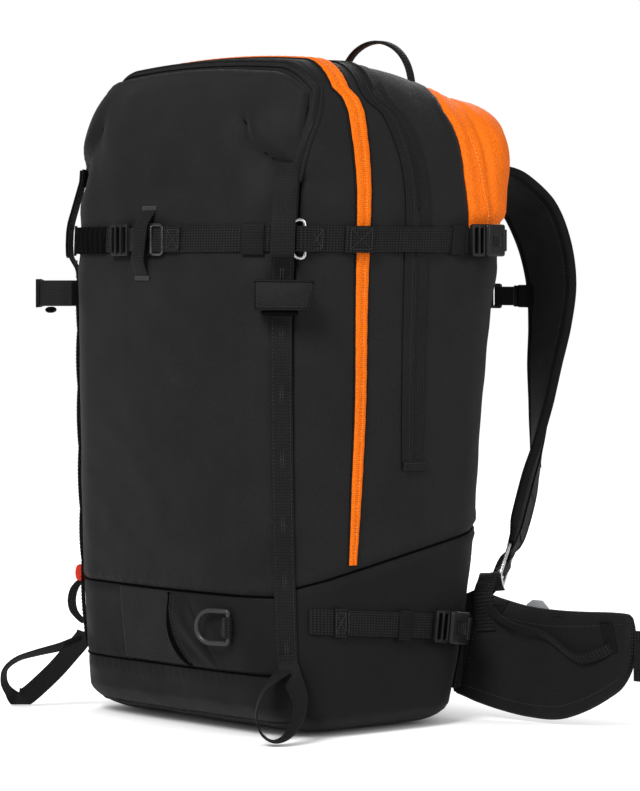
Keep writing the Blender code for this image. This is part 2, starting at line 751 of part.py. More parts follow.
def buckle_frame(y, z, side, slope=0.0):
    turn = turn_at(y, z)
    step = 0.03
    ahead = around(turn + step, z + slope * 0.01)
    behind = around(turn - step, z - slope * 0.01)
    along = flip(ahead, side) - flip(behind, side)
    out = along.cross(Vector((0, 0, 1))) * side
    return frame_at(flip(around(turn, z, 0), side) + out.normalized() * (LIFT * 2 + WEB), along, out)


def make_side_buckles():
    for side, word in ((1, "right"), (-1, "left")):
        upper = buckle_frame(UPPER_BUCKLE_Y, UPPER_STRAP_Z, side)
        lower = buckle_frame(LOWER_BUCKLE_Y, lower_z(LOWER_BUCKLE_Y), side, LOWER_STRAP_SLOPE)
        for at, level in ((upper, "upper"), (lower, "lower")):
            make_socket(level + "_socket_" + word, at, BUCKLE_LENGTH, BUCKLE_WIDTH, BUCKLE)
            make_tongue(level + "_tongue_" + word, at, BUCKLE_LENGTH, BUCKLE_WIDTH, BUCKLE)


# ---- Loops and rings ----
def make_haul_loop():
    foot = top_at(HAUL_HALF_WIDTH, HAUL_Y, HAUL_RADIUS + 0.0009)
    dip = Vector((0, 0, HAUL_RADIUS))
    route = [Vector((-HAUL_HALF_WIDTH, HAUL_Y, foot.z)) - dip]
    for i in range(2 * ARC_STEPS + 1):
        turn = math.pi * i / (2 * ARC_STEPS)
        route.append((-HAUL_HALF_WIDTH * math.cos(turn), HAUL_Y, foot.z + HAUL_HEIGHT * math.sin(turn) ** 0.8))
    route.append(Vector((HAUL_HALF_WIDTH, HAUL_Y, foot.z)) - dip)
    tube("haul_loop", route, HAUL_RADIUS, WEBBING, ends=0.35)


def top_at(x, y, lift):
    """A point of the top over x and y."""
    u, v = x / HALF_WIDTH, 0.0
    low, high = -1.0, 1.0
    for _ in range(30):
        v = (low + high) / 2
        here = bag(u, v, 1)
        u += (x - here.x) / HALF_WIDTH * 0.5
        if here.y < y:
            low = v
        else:
            high = v
    return skin(u, v, 1, lift)


def make_gear_ring():
    """A D-shaped ring on the lower pocket, hinged on its straight bar."""
    pocket = around(turn_at_x(RING_BAR_X, RING_BAR_Z), RING_BAR_Z)
    bar = Vector((RING_BAR_X, pocket.y - 0.0075, RING_BAR_Z))
    away = Vector((-math.cos(RING_ANGLE), -math.sin(RING_ANGLE), 0))
    up = Vector((0, 0, 1))
    straight = RING_DEPTH - RING_HALF_HEIGHT
    route = [bar + up * height for height in (-RING_HALF_HEIGHT, -0.005, 0.005, RING_HALF_HEIGHT)]
    route += [bar + away * straight * share + up * RING_HALF_HEIGHT for share in (0.35, 0.75)]
    for i in range(ARC_STEPS + 1):
        turn = math.pi * i / ARC_STEPS
        route.append(bar + away * (straight + RING_HALF_HEIGHT * math.sin(turn)) + up * RING_HALF_HEIGHT * math.cos(turn))
    route += [bar + away * straight * share - up * RING_HALF_HEIGHT for share in (0.75, 0.35)]
    tube("gear_ring", route, RING_RADIUS, PLASTIC, True)
    reach = 0.0055
    inner = RING_RADIUS + 0.0004
    shape = bmesh.new()
    bmesh.ops.create_cone(shape, cap_ends=False, segments=16, radius1=inner, radius2=inner, depth=0.018)
    for corner in shape.verts:
        corner.co += bar
    item = from_bmesh("ring_tab", shape, WEBBING)
    wall = item.modifiers.new("wall", "SOLIDIFY")
    wall.thickness = bar_wall(pocket, bar, inner)
    wall.offset = 1
    return reach


def bar_wall(pocket, bar, inner):
    return abs(pocket.y - bar.y) - inner - LIFT - 0.0003


def make_axe_loops():
    """Webbing loops at the foot of each corner tape, reaching out over the floor."""
    for side, word in ((1, "right"), (-1, "left")):
        start = around(0.5, AXE_LOOP_Z, AXE_LOOP_LIFT)
        out = Vector(AXE_LOOP_WAY).normalized()
        across = Vector((0, 0, 1)).cross(out)
        reach = AXE_LOOP_REACH
        route = [start + out * (a * reach) + Vector((0, 0, b * reach)) for a, b in AXE_LOOP_PATH]
        route = smooth_route(route, 2)
        lowest = min(point.z for point in route)
        scale_z = (start.z - AXE_LOOP_WEB - 0.0012) / (start.z - lowest)
        route = [Vector((p.x, p.y, start.z + (p.z - start.z) * scale_z)) for p in route]
        sides, outward = [], []
        for i, point in enumerate(route):
            tangent = (route[min(i + 1, len(route) - 1)] - route[max(i - 1, 0)]).normalized()
            sides.append(flip(across * TAPE_WIDTH / 2, side))
            outward.append(flip(across.cross(tangent), side))
        swept("axe_loop_" + word, [flip(p, side) for p in route], sides, AXE_LOOP_WEB, WEBBING, outward)


def make_axe_holders():
    """Flat rings of webbing that hold an axe's shaft against each corner tape."""
    for side, word in ((1, "right"), (-1, "left")):
        tape = around(0.5, AXE_HOLDER_Z, 2 * LIFT + WEB + 0.0006 + tape_bow(AXE_HOLDER_Z + AXE_HOLDER_HEIGHT / 2))
        out = Vector((math.sin(math.radians(45)), -math.cos(math.radians(45)), 0))
        across = Vector((0, 0, 1)).cross(out)
        shape = bmesh.new()
        bmesh.ops.create_cone(shape, cap_ends=False, segments=24, radius1=1, radius2=1, depth=AXE_HOLDER_HEIGHT)
        for corner in shape.verts:
            a, b = corner.co.x, corner.co.y
            spread = AXE_HOLDER_HALF_WIDTH * a * (1 - 0.12 * b)
            depth = AXE_HOLDER_DEPTH * (b + 1) / 2
            spot = tape + out * (depth + WEB) + across * spread + Vector((0, 0, corner.co.z))
            corner.co = flip(spot, side)
        if side < 0:
            bmesh.ops.reverse_faces(shape, faces=shape.faces[:])
        item = from_bmesh("axe_holder_" + word, shape, WEBBING)
        wall = item.modifiers.new("wall", "SOLIDIFY")
        wall.thickness = WEB
        wall.offset = -1


# ---- Back and straps ----
def make_back():
    stay_low, stay_high = 0.06, 0.55
    inner, outer = [], []
    for i in range(13):
        z = stay_low + (stay_high - stay_low) * i / 12
        here = skin(0, 1, level_of(z), 0.0060 - BACK_PAD - 2 * LIFT)
        outer.append([here + Vector((-STAY_WIDTH / 2, 0, 0)), here + Vector((STAY_WIDTH / 2, 0, 0))])
        inner.append([corner - Vector((0, STAY, 0)) for corner in outer[-1]])
    slab("aluminium_stay", inner, outer, METAL)
    lift = PAD_FACE - LUMBAR_PAD
    grids = []
    for height in (lift, PAD_FACE):
        shrink = 1.0 if height == lift else 0.95
        middle = (LUMBAR_LOW + LUMBAR_HIGH) / 2
        rows = []
        for i in range(7):
            z = middle + (LUMBAR_HIGH - LUMBAR_LOW) * (i / 6 - 0.5) * shrink
            half = LUMBAR_HALF_WIDTH if height == lift else LUMBAR_FACE_HALF_WIDTH
            spots = [skin(half * (j / 6 - 1), 1, level_of(z), height) for j in range(13)]
            rows.append([Vector((spot.x, spot.y, z)) for spot in spots])
        grids.append(rows)
    slab("lumbar_pad", grids[0], grids[1], FOAM)


def rounded_root(points, outward, half):
    """Rows before the first one that close a thick strip with half a circle about its start."""
    back = (points[0] - points[1]).normalized()
    rows, faces, halves = [], [], []
    for turn in (80, 45):
        rows.append(points[0] + back * half * math.sin(math.radians(turn)))
        faces.append(outward[0])
        halves.append(half * math.cos(math.radians(turn)))
    return rows + points, faces + outward, halves + [half] * len(points)


def strap_path(side):
    route = [flip(Vector(point), side) for point in STRAP_ROUTE]
    widths, sides, outward = [], [], []
    last = len(route) - 1
    for i in range(len(route)):
        share = clamp((i - 3) / (last - 3))
        widths.append(STRAP_WIDTH_TOP + (STRAP_WIDTH_END - STRAP_WIDTH_TOP) * share)
        turn = math.radians(STRAP_TURN[i])
        across = Vector((math.cos(turn) * side, math.sin(turn), 0))
        tangent = (route[min(i + 1, last)] - route[max(i - 1, 0)]).normalized()
        out = across.cross(tangent).normalized() * side
        if i == last:
            across = (tangent.cross(out) * side).normalized()
        sides.append(across * widths[-1] / 2)
        outward.append(out)
    return route, sides, outward


def strap_at(z, side):
    """(point, width direction, face direction) of a shoulder strap at height z, on its lower run."""
    route, sides, outward = strap_path(side)
    for i in range(3, len(route) - 1):
        if route[i].z >= z >= route[i + 1].z:
            t = (route[i].z - z) / (route[i].z - route[i + 1].z)
            return (route[i].lerp(route[i + 1], t), sides[i].lerp(sides[i + 1], t), outward[i].lerp(outward[i + 1], t).normalized())
    return route[-1], sides[-1], outward[-1]


def make_shoulder_straps():
    for side, word in ((1, "right"), (-1, "left")):
        route, sides, outward = strap_path(side)
        low, high = [], []
        rows, faces, halves = rounded_root(route, outward, STRAP / 2)
        spans = [sides[0]] * 2 + sides
        halves[-1] *= 0.5
        for point, span, out, half in zip(rows, spans, faces, halves):
            low.append([point + span * share - out * half for share in (-1, 0, 1)])
            high.append([point + span * share + out * half for share in (-1, 0, 1)])
        slab("shoulder_strap_" + word, low, high, FOAM)
        end, half, out = route[-1], sides[-1].normalized(), outward[-1]
        run = (route[-1] - route[-2]).normalized()
        middle = end + run * (ADJUSTER_HEIGHT / 2 + 0.0005)
        at = frame_at(middle, run, out)
        tall, wide = ADJUSTER_HEIGHT / 2, ADJUSTER_WIDTH / 2
        loops = [oblong(-tall, tall, -wide, wide, 0.004)]
        loops.append(oblong(-tall + 0.0035, -0.0045, -wide + 0.0035, wide - 0.0035))
        loops.append(oblong(0.0000, tall - 0.0035, -wide + 0.0035, wide - 0.0035))
        outline("strap_adjuster_" + word, loops, ADJUSTER, METAL, at)
        make_lower_webbing(word, side, middle + run * (ADJUSTER_HEIGHT / 2 + 0.0026))


def make_lower_webbing(word, side, end):
    """Webbing from the end of the hip belt's core up to the strap adjuster."""
    points = []
    for z in (LOWER_WEB_FOOT_Z, LOWER_WEB_FOOT_Z + 0.014, LOWER_WEB_FOOT_Z + 0.028):
        points.append(Vector((LOWER_WEB_X * side, skin(LOWER_WEB_X / HALF_WIDTH, 1, level_of(z), PAD_FACE).y + 0.0005, z)))
    route = points + smooth_route((points[-1] + Vector((0.0003 * side, 0.008, 0.008)), end), 4)
    across = Vector((1, -0.10 * side, 0)).normalized() * LOWER_WEB_WIDTH / 2
    outward = []
    for i in range(len(route)):
        tangent = (route[min(i + 1, len(route) - 1)] - route[max(i - 1, 0)]).normalized()
        outward.append(tangent.cross(across).normalized())
    swept("lower_webbing_" + word, route, [across] * len(route), WEB, WEBBING, outward)


def make_sternum_strap():
    edges = {}
    for side in (1, -1):
        point, half, out = strap_at(STERNUM_Z, side)
        edges[side] = point - half - out * 0.0
    y = edges[1].y
    z = STERNUM_Z
    joint_x = 0.0
    ends = (edges[1].x - 0.0006, joint_x - TONGUE_FRAME)
    room = STERNUM_BUCKLE_WIDTH / 2
    at = frame_at(Vector((joint_x, y - 0.004, z)), Vector((-1, 0, 0)), Vector((0, 1, 0)))
    make_socket("sternum_socket", at, STERNUM_BUCKLE_LENGTH, STERNUM_BUCKLE_WIDTH, 0.0080, 0.0022)
    make_tongue("sternum_tongue", at, STERNUM_BUCKLE_LENGTH, STERNUM_BUCKLE_WIDTH, 0.0080, 0.0022, 0.014)
    for word, start, end in (("right", joint_x + 0.0035, edges[1].x - 0.0022),
                             ("left", -STERNUM_BUCKLE_LENGTH - 0.0006, edges[-1].x + 0.0022)):
        low, high = sorted((start, end))
        depth = -0.0018 - STERNUM_WEB if word == "right" else -0.0007
        box("sternum_strap_" + word, (low, y + depth, z - STERNUM_WIDTH / 2),
            (high, y + depth + STERNUM_WEB, z + STERNUM_WIDTH / 2), WEBBING)
    return ends, room


def make_trigger_handle():
    """The pull handle, held in the lower half of the left shoulder strap."""
    point, half, out = strap_at(HANDLE_Z, -1)
    above, _, _ = strap_at(HANDLE_Z + 0.02, -1)
    below, _, _ = strap_at(HANDLE_Z - 0.02, -1)
    along = above - below
    at = frame_at(point + out * (STRAP / 2 + HANDLE_BASE), along, out)
    box("trigger_handle", (-HANDLE_LENGTH / 2, -HANDLE_WIDTH / 2, 0), (HANDLE_LENGTH / 2, HANDLE_WIDTH / 2, HANDLE),
        RED_GRIP, 0.0035, at)


# ---- Hip belt ----
def wing_route(side):
    route = [Vector((x * side, y, 0)) for x, y in WING_ROUTE]
    outward = []
    for i in range(len(route)):
        tangent = (route[min(i + 1, len(route) - 1)] - route[max(i - 1, 0)]).normalized()
        outward.append(Vector((-tangent.y * side, tangent.x * side, 0)).normalized())
    return route, outward


def make_wings():
    for side, word in ((1, "right"), (-1, "left")):
        route, outward = wing_route(side)
        low, high = [], []
        rows, faces, halves = rounded_root(route, outward, WING / 2)
        tops, bottoms = WING_TOP_Z[:1] * 2 + WING_TOP_Z, WING_BOTTOM_Z[:1] * 2 + WING_BOTTOM_Z
        for point, out, half, top, bottom in zip(rows, faces, halves, tops, bottoms):
            row = [Vector((point.x, point.y, bottom + (top - bottom) * share)) for share in (0, 0.33, 0.67, 1)]
            low.append([corner - out * half for corner in row])
            high.append([corner + out * half for corner in row])
        slab("hip_wing_" + word, low, high, FOAM)
        make_hip_webbing(word, side)


def make_hip_webbing(word, side):
    route = [Vector((x * side, y, HIP_WEB_Z)) for x, y in HIP_WEB_ROUTE]
    outward = []
    for i in range(len(route)):
        tangent = (route[min(i + 1, len(route) - 1)] - route[max(i - 1, 0)]).normalized()
        outward.append(Vector((-tangent.y * side, tangent.x * side, 0)).normalized())
    up = Vector((0, 0, HIP_WEB_WIDTH / 2))
    swept("hip_webbing_" + word, route, [up] * len(route), HIP_WEB, WEBBING, outward)
    end = route[-1]
    along = (route[-1] - route[-2]).normalized()
    out = outward[-1]
    if word == "right":
        at = frame_at(end + along * (HIP_BUCKLE_LENGTH + 0.0008) - out * (HIP_BUCKLE / 2), -along, out)
        make_socket("hip_socket", at, HIP_BUCKLE_LENGTH, HIP_BUCKLE_WIDTH, HIP_BUCKLE, 0.0030)
    else:
        at = frame_at(end + along * 0.0278 - out * (HIP_BUCKLE / 2 - HIP_WEB / 2), along, out)
        make_tongue("hip_tongue", at, HIP_BUCKLE_LENGTH, HIP_BUCKLE_WIDTH, HIP_BUCKLE, 0.0030, 0.027)


# ---- Inflation system ----
def make_inflation():
    base = Vector((CARTRIDGE_X, CARTRIDGE_Y, CARTRIDGE_Z))
    radius, length = CARTRIDGE_RADIUS, CARTRIDGE_LENGTH
    shoulder = length - radius
    outline_points = [(0, length + NECK_LENGTH), (NECK_RADIUS, length + NECK_LENGTH), (NECK_RADIUS, length)]
    outline_points += [(NECK_RADIUS + (radius - NECK_RADIUS) * math.sin(math.pi / 2 * i / 5),
                        shoulder + radius * 0.9 * math.cos(math.pi / 2 * i / 5)) for i in range(6)]
    outline_points += [(radius, 0.008), (radius - 0.006, 0.0), (0, 0.0)]
    turned("gas_cartridge", outline_points, METAL, base)
    top = base + Vector((0, 0, length + NECK_LENGTH + 0.0004))
    half = UNIT_SIZE / 2
    unit = box("activation_unit", top - Vector((half, half, 0)), top + Vector((half, half, UNIT_HEIGHT)), PLASTIC, 0.006)
    pin_low = top + Vector((0, half - PIN_DEPTH, UNIT_HEIGHT * 0.5))
    bore = PIN_RADIUS + 0.0005
    drill = bmesh.new()
    bmesh.ops.create_cone(drill, cap_ends=True, segments=16, radius1=bore, radius2=bore, depth=2 * PIN_DEPTH)
    bmesh.ops.transform(drill, matrix=Matrix.Rotation(math.pi / 2, 4, "X"), verts=drill.verts[:])
    bmesh.ops.translate(drill, vec=pin_low + Vector((0, PIN_DEPTH - 0.0005, 0)), verts=drill.verts[:])
    cut(unit, from_bmesh("pin_bore", drill, PLASTIC, False, CUTTERS))
    pin_end = pin_low + Vector((0, PIN_LENGTH, 0))
    tube("trigger_pin", (pin_low, pin_end), PIN_RADIUS, METAL)
    exit_spot = skin(-0.38, 1, level_of(CABLE_EXIT_Z), 0.0060 - BACK_PAD - 0.0022)
    start = pin_end + Vector((0, PIN_TRAVEL + 0.0015, 0))
    way = [start] + smooth_route((start + Vector((0, 0.004, 0)), start + Vector((0.006, 0.012, 0.010)),
                                  exit_spot + Vector((0, -0.012, -0.010)), exit_spot), 6)
    tube("trigger_cable", way, CABLE_RADIUS, PLASTIC)
    make_bladder()


def make_bladder():
    """The folded airbag under the crown, with its sides drawn in along the folds."""
    rows_low, rows_high = [], []
    for i in range(11):
        x = BLADDER_HALF_WIDTH * (i / 5 - 1)
        droop = 0.010 * (i / 5 - 1) ** 2
        low, high = [], []
        for j in range(7):
            edge = math.sin(math.pi * (0.12 + 0.76 * j / 6)) * math.sin(math.pi * (0.12 + 0.76 * i / 10))
            high_z = BLADDER_Z[0] + (BLADDER_Z[1] - BLADDER_Z[0]) * (0.35 + 0.65 * edge) - droop
            for z, row in ((BLADDER_Z[0], low), (high_z, high)):
                rear = skin(x / HALF_WIDTH, 1, level_of(z), 0.0060 - BACK_PAD - LIFT - STAY).y
                row.append(Vector((x, BLADDER_FRONT_Y + (rear - BLADDER_FRONT_Y) * j / 6, z)))
        rows_low.append(low)
        rows_high.append(high)
    slab("airbag_bladder", rows_low, rows_high, BLADDER)


def main():
    make_panels()
    make_zips()
    make_zip_slider()
    make_corner_tapes()
    make_upper_straps()
    make_lower_straps()
    make_front_hardware()
    make_side_buckles()
    make_haul_loop()
    make_gear_ring()
    make_axe_loops()
    make_axe_holders()
    make_back()
    make_shoulder_straps()
    make_sternum_strap()
    make_trigger_handle()
    make_wings()
    make_inflation()


main()
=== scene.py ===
import json
import math

import bpy
import numpy as np
from mathutils import Matrix, Vector

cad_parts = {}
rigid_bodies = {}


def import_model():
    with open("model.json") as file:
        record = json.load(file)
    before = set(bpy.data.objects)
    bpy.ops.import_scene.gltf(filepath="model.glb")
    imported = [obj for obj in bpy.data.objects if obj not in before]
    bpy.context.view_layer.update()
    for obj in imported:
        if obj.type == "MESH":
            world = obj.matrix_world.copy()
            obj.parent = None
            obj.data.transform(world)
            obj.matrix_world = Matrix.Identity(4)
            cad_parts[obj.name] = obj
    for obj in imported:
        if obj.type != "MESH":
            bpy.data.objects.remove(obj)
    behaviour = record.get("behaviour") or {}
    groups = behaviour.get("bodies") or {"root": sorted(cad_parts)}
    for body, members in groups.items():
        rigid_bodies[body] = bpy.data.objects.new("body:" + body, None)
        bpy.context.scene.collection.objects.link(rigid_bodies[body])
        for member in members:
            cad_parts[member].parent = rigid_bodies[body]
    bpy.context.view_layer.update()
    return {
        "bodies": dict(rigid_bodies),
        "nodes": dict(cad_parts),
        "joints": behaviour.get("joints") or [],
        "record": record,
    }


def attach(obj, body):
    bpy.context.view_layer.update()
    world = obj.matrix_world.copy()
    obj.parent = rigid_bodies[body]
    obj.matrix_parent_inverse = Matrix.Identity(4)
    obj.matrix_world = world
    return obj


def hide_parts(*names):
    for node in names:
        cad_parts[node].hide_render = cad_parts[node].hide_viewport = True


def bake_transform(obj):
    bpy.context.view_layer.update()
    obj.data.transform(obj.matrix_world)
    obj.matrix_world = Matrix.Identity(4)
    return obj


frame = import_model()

print("frame loaded")

# camera, light and floor
studio = {"cameraPlace": (2.4427, -2.0843, 0.4074), "pitch": 2.054, "turn": 49.02, "lens": 159.3, "farthest": 60,
          "worldLevel": 0.34, "roomColour": (0.8, 0.81, 0.83), "floorSize": 30, "floorLevel": -0.0005,
          "floorColour": (0.93, 0.93, 0.93), "floorGlow": 0.78, "shadeReach": 0.09, "lampTarget": (0, 0, 0.3),
          "lamps": (("keyLamp", (1.2, -2.6, 2.6), 1.3, 106), ("sideLamp", (3.2, 0.9, 1.5), 1.8, 29),
                    ("rimLamp", (-1.6, 2.4, 2.2), 1.6, 27))}


def newNode(tree, kind, inputs=(), **settings):
    # a node with its settings and its inputs, each of them a value or another node's socket
    node = tree.nodes.new("ShaderNode" + kind)
    for name, value in settings.items():
        setattr(node, name, value)
    for name, value in dict(inputs).items():
        if isinstance(value, bpy.types.NodeSocket):
            tree.links.new(value, node.inputs[name])
        else:
            node.inputs[name].default_value = value
    return node


def sums(tree, operation, first, second):
    return newNode(tree, "Math", {0: first, 1: second}, operation=operation).outputs[0]


def makeCamera():
    bpy.ops.object.camera_add(location=studio["cameraPlace"],
                              rotation=(math.radians(90 - studio["pitch"]), 0, math.radians(studio["turn"])))
    camera = bpy.context.object
    camera.data.lens = studio["lens"]
    camera.data.clip_end = studio["farthest"]
    bpy.context.scene.camera = camera


def addLamp(name, place, size, power):
    bpy.ops.object.light_add(type="AREA", location=place)
    lamp = bpy.context.object
    lamp.name = name
    lamp.data.size = size
    lamp.data.energy = power
    lamp.rotation_euler = (Vector(studio["lampTarget"]) - Vector(place)).to_track_quat("-Z", "Y").to_euler()


def paleWorld():
    # white to the camera and through clear pieces, and a soft pale room to everything else
    world = bpy.data.worlds.new("paleRoom")
    bpy.context.scene.world = world
    world.use_nodes = True
    tree = world.node_tree
    tree.nodes.clear()
    rays = newNode(tree, "LightPath")
    seen = sums(tree, "MAXIMUM", rays.outputs["Is Camera Ray"], rays.outputs["Is Transmission Ray"])
    room = newNode(tree, "Background", {"Strength": studio["worldLevel"], "Color": (*studio["roomColour"], 1)})
    white = newNode(tree, "Background", {"Color": (1, 1, 1, 1)})
    mixer = newNode(tree, "MixShader", {0: seen, 1: room.outputs[0], 2: white.outputs[0]})
    newNode(tree, "OutputWorld", {"Surface": mixer.outputs[0]})


def makeFloor():
    # pale paper that glows to the camera alone, with a painted contact shadow where something stands close over it
    bpy.ops.mesh.primitive_plane_add(size=studio["floorSize"], location=(0, 0, studio["floorLevel"]))
    floor = bpy.context.object
    floor.name = "studioFloor"
    surface = newFinish("studioPaper", studio["floorColour"], 0.9, gloss=0.1)
    tree = surface.node_tree
    rays = newNode(tree, "LightPath")
    # ambient occlusion dims the glow near what stands on the floor: painted contact shadow
    contactShade = newNode(tree, "AmbientOcclusion", {"Distance": studio["shadeReach"]})
    amount = sums(tree, "MULTIPLY", rays.outputs["Is Camera Ray"], studio["floorGlow"])
    glow = newNode(tree, "Emission", {"Strength": sums(tree, "MULTIPLY", amount, contactShade.outputs["AO"])})
    lit = newNode(tree, "AddShader", {0: tree.nodes["Principled BSDF"].outputs[0], 1: glow.outputs[0]})
    tree.links.new(lit.outputs[0], tree.nodes["Material Output"].inputs["Surface"])
    floor.data.materials.append(surface)


def newFinish(name, colour, roughness, metallic=0.0, gloss=0.5):
    surface = bpy.data.materials.new(name)
    surface.use_nodes = True
    shader = surface.node_tree.nodes["Principled BSDF"]
    for socket, value in (("Base Color", (*colour, 1)), ("Roughness", roughness), ("Metallic", metallic),
                          ("Specular IOR Level", gloss)):
        shader.inputs[socket].default_value = value
    return surface


makeCamera()
paleWorld()
makeFloor()
for lampFacts in studio["lamps"]:
    addLamp(*lampFacts)
bpy.context.scene.view_settings.view_transform = "Standard"
print("studio ready")


# finishes
def bands(tree, coords, direction, period):
    # periodic bands along one axis, period in metres
    return newNode(tree, "TexWave", {"Scale": bandShare / period, "Vector": coords}, wave_type="BANDS",
                   bands_direction=direction).outputs["Fac"]


def mottle(tree, coords, scale, low, high):
    cloud = newNode(tree, "TexNoise", {"Scale": scale, "Detail": 4, "Vector": coords})
    return newNode(tree, "MapRange", {"From Min": 0.3, "From Max": 0.7, "To Min": low, "To Max": high,
                                      "Value": cloud.outputs["Fac"]}).outputs[0]


def tint(tree, colour, factor):
    # the colour, made darker and lighter by factor
    grey = newNode(tree, "CombineColor", {0: factor, 1: factor, 2: factor})
    return newNode(tree, "Mix", {"Factor": 1, "A": (*colour, 1), "B": grey.outputs[0]}, data_type="RGBA",
                   blend_type="MULTIPLY").outputs["Result"]


def dressed(surface, colour, roughness, height, strength, distance):
    # gives a finish its varied colour, its varied roughness and its fine relief
    tree = surface.node_tree
    shader = tree.nodes["Principled BSDF"]
    bump = newNode(tree, "Bump", {"Strength": strength, "Distance": distance, "Height": height})
    for socket, value in (("Base Color", colour), ("Roughness", roughness), ("Normal", bump.outputs["Normal"])):
        tree.links.new(value, shader.inputs[socket])
    return surface


def wovenFinish(name, colour, roughness, warp, weft, strength, variation=(0.86, 1.16), sheen=0.0, diagonal=0.0,
                contrast=0.22, gloss=0.12, square=1.0):
    # cloth with threads along the piece's own map, warp and weft in metres
    surface = newFinish(name, colour, roughness, gloss=gloss)
    tree = surface.node_tree
    shader = tree.nodes["Principled BSDF"]
    shader.inputs["Sheen Weight"].default_value = sheen
    shader.inputs["Sheen Roughness"].default_value = 0.45
    where = newNode(tree, "TexCoord")
    along, place = where.outputs["UV"], where.outputs["Object"]
    threads = sums(tree, "MULTIPLY", bands(tree, along, "X", warp), bands(tree, along, "Y", weft))
    if diagonal:
        threads = sums(tree, "ADD", threads, bands(tree, along, "DIAGONAL", diagonal))
    if square != 1:   # flatter tops to the threads, with narrow dark gaps
        threads = sums(tree, "POWER", threads, square)
    patches = sums(tree, "MULTIPLY", mottle(tree, place, 22, *variation), mottle(tree, place, 700, 0.76, 1.24))
    weave = sums(tree, "ADD", sums(tree, "MULTIPLY", threads, contrast * 2), 1 - contrast)
    wear = sums(tree, "MULTIPLY", mottle(tree, place, 60, 0.92, 1.08), roughness)
    return dressed(surface, tint(tree, colour, sums(tree, "MULTIPLY", patches, weave)), wear, threads,
                   strength, 0.0002)


def mouldedFinish(name, colour, roughness, grain=0.12, gloss=0.38):
    surface = newFinish(name, colour, roughness, gloss=gloss)
    tree = surface.node_tree
    place = newNode(tree, "TexCoord").outputs["Object"]
    wear = sums(tree, "MULTIPLY", mottle(tree, place, 180, 0.85, 1.15), roughness)
    shade = tint(tree, colour, mottle(tree, place, 40, 0.88, 1.14))
    return dressed(surface, shade, wear, mottle(tree, place, 1400, 0, 1), grain, 0.0001)


def metalFinish(name, colour, roughness):
    surface = newFinish(name, colour, roughness, 1.0)
    tree = surface.node_tree
    place = newNode(tree, "TexCoord").outputs["Object"]
    shade = tint(tree, colour, mottle(tree, place, 90, 0.92, 1.05))
    wear = mottle(tree, place, 420, roughness * 0.7, roughness * 1.4)
    return dressed(surface, shade, wear, mottle(tree, place, 800, 0, 1), 0.05, 0.0001)


bandShare = 0.3142   # turns a period in metres into the wave's scale
finishes = {
    "shell": wovenFinish("shellFabric", (0.0102, 0.0102, 0.0107), 0.62, 0.0008, 0.0008, 0.35, sheen=0.06,
                         diagonal=0.0009),
    "boot": wovenFinish("bootFabric", (0.0085, 0.0085, 0.0089), 0.58, 0.0008, 0.0008, 0.3, sheen=0.05),
    "tab": wovenFinish("tabCloth", (0.02, 0.02, 0.0206), 0.64, 0.0026, 0.0013, 0.9, sheen=0.06, contrast=0.4),
    "flap": wovenFinish("flapFabric", (0.0141, 0.0141, 0.0145), 0.64, 0.003, 0.0024, 0.9, sheen=0.06,
                        contrast=0.24),
    "hood": wovenFinish("hoodFabric", (1.0, 0.185, 0.005), 0.62, 0.0011, 0.0011, 0.25, (0.95, 1.05),
                        contrast=0.06, gloss=0.15),
    "orangeTape": wovenFinish("orangeZipTape", (1.0, 0.185, 0.003), 0.68, 0.0018, 0.0018, 0.8, (0.93, 1.05),
                              contrast=0.22, gloss=0.15),
    "webbing": wovenFinish("webbing", (0.0094, 0.0094, 0.0098), 0.62, 0.0033, 0.0023, 1.8, (0.88, 1.15), 0.05,
                           contrast=0.92, square=0.45),
    "tape": wovenFinish("gripTape", (0.01, 0.01, 0.0104), 0.66, 0.0026, 0.0022, 1.3, (0.88, 1.15), 0.04,
                        contrast=0.36),
    "zipTape": wovenFinish("zipTape", (0.0148, 0.0148, 0.0154), 0.62, 0.0017, 0.0019, 0.8, contrast=0.5),
    "zipCoil": mouldedFinish("zipCoil", (0.0067, 0.0067, 0.007), 0.62, gloss=0.18),
    "binding": wovenFinish("edgeBinding", (0.0067, 0.0067, 0.0071), 0.7, 0.0012, 0.0016, 0.5),
    "strapCover": wovenFinish("strapCover", (0.0104, 0.0104, 0.0111), 0.68, 0.0012, 0.0012, 0.4, sheen=0.08),
    "spacerMesh": wovenFinish("spacerMesh", (0.0089, 0.0089, 0.0095), 0.85, 0.0034, 0.0034, 1.0, sheen=0.08,
                              diagonal=0.0042, contrast=0.5),
    "gathers": wovenFinish("gatheredElastic", (0.0044, 0.0044, 0.0047), 0.75, 0.0026, 0.0012, 0.8,
                           contrast=0.7, gloss=0.05),
    "elastic": wovenFinish("elastic", (0.0122, 0.0122, 0.0127), 0.75, 0.0009, 0.0024, 0.8, contrast=0.5),
    "thread": mouldedFinish("thread", (0.0444, 0.0444, 0.0459), 0.75, gloss=0.2),
    # near-black finish of the cords and sheets laid in seams, creases and gaps: painted shade
    "shadeCord": mouldedFinish("seamShadeCord", (0.0015, 0.0015, 0.0016), 0.9, 0.05, 0.03),
    "orangeThread": mouldedFinish("orangeThread", (1.0, 0.36, 0.06), 0.7),
    "plastic": mouldedFinish("buckleNylon", (0.0063, 0.0063, 0.0068), 0.36),
    "greyPlastic": mouldedFinish("greyNylon", (0.3, 0.305, 0.31), 0.45),
    "metal": metalFinish("polishedAlloy", (0.8, 0.8, 0.81), 0.26),
    "darkMetal": metalFinish("darkAlloy", (0.13, 0.13, 0.135), 0.3),
    "ringAlloy": mouldedFinish("coatedRing", (0.0333, 0.0333, 0.0348), 0.34),
    "bladder": wovenFinish("bladderFabric", (0.9, 0.26, 0.02), 0.45, 0.001, 0.001, 0.3),
    "grip": mouldedFinish("gripRubber", (0.62, 0.035, 0.012), 0.5, 0.2),
    "redTag": wovenFinish("redTag", (0.8, 0.045, 0.02), 0.65, 0.001, 0.001, 0.4), }
print("finishes ready")

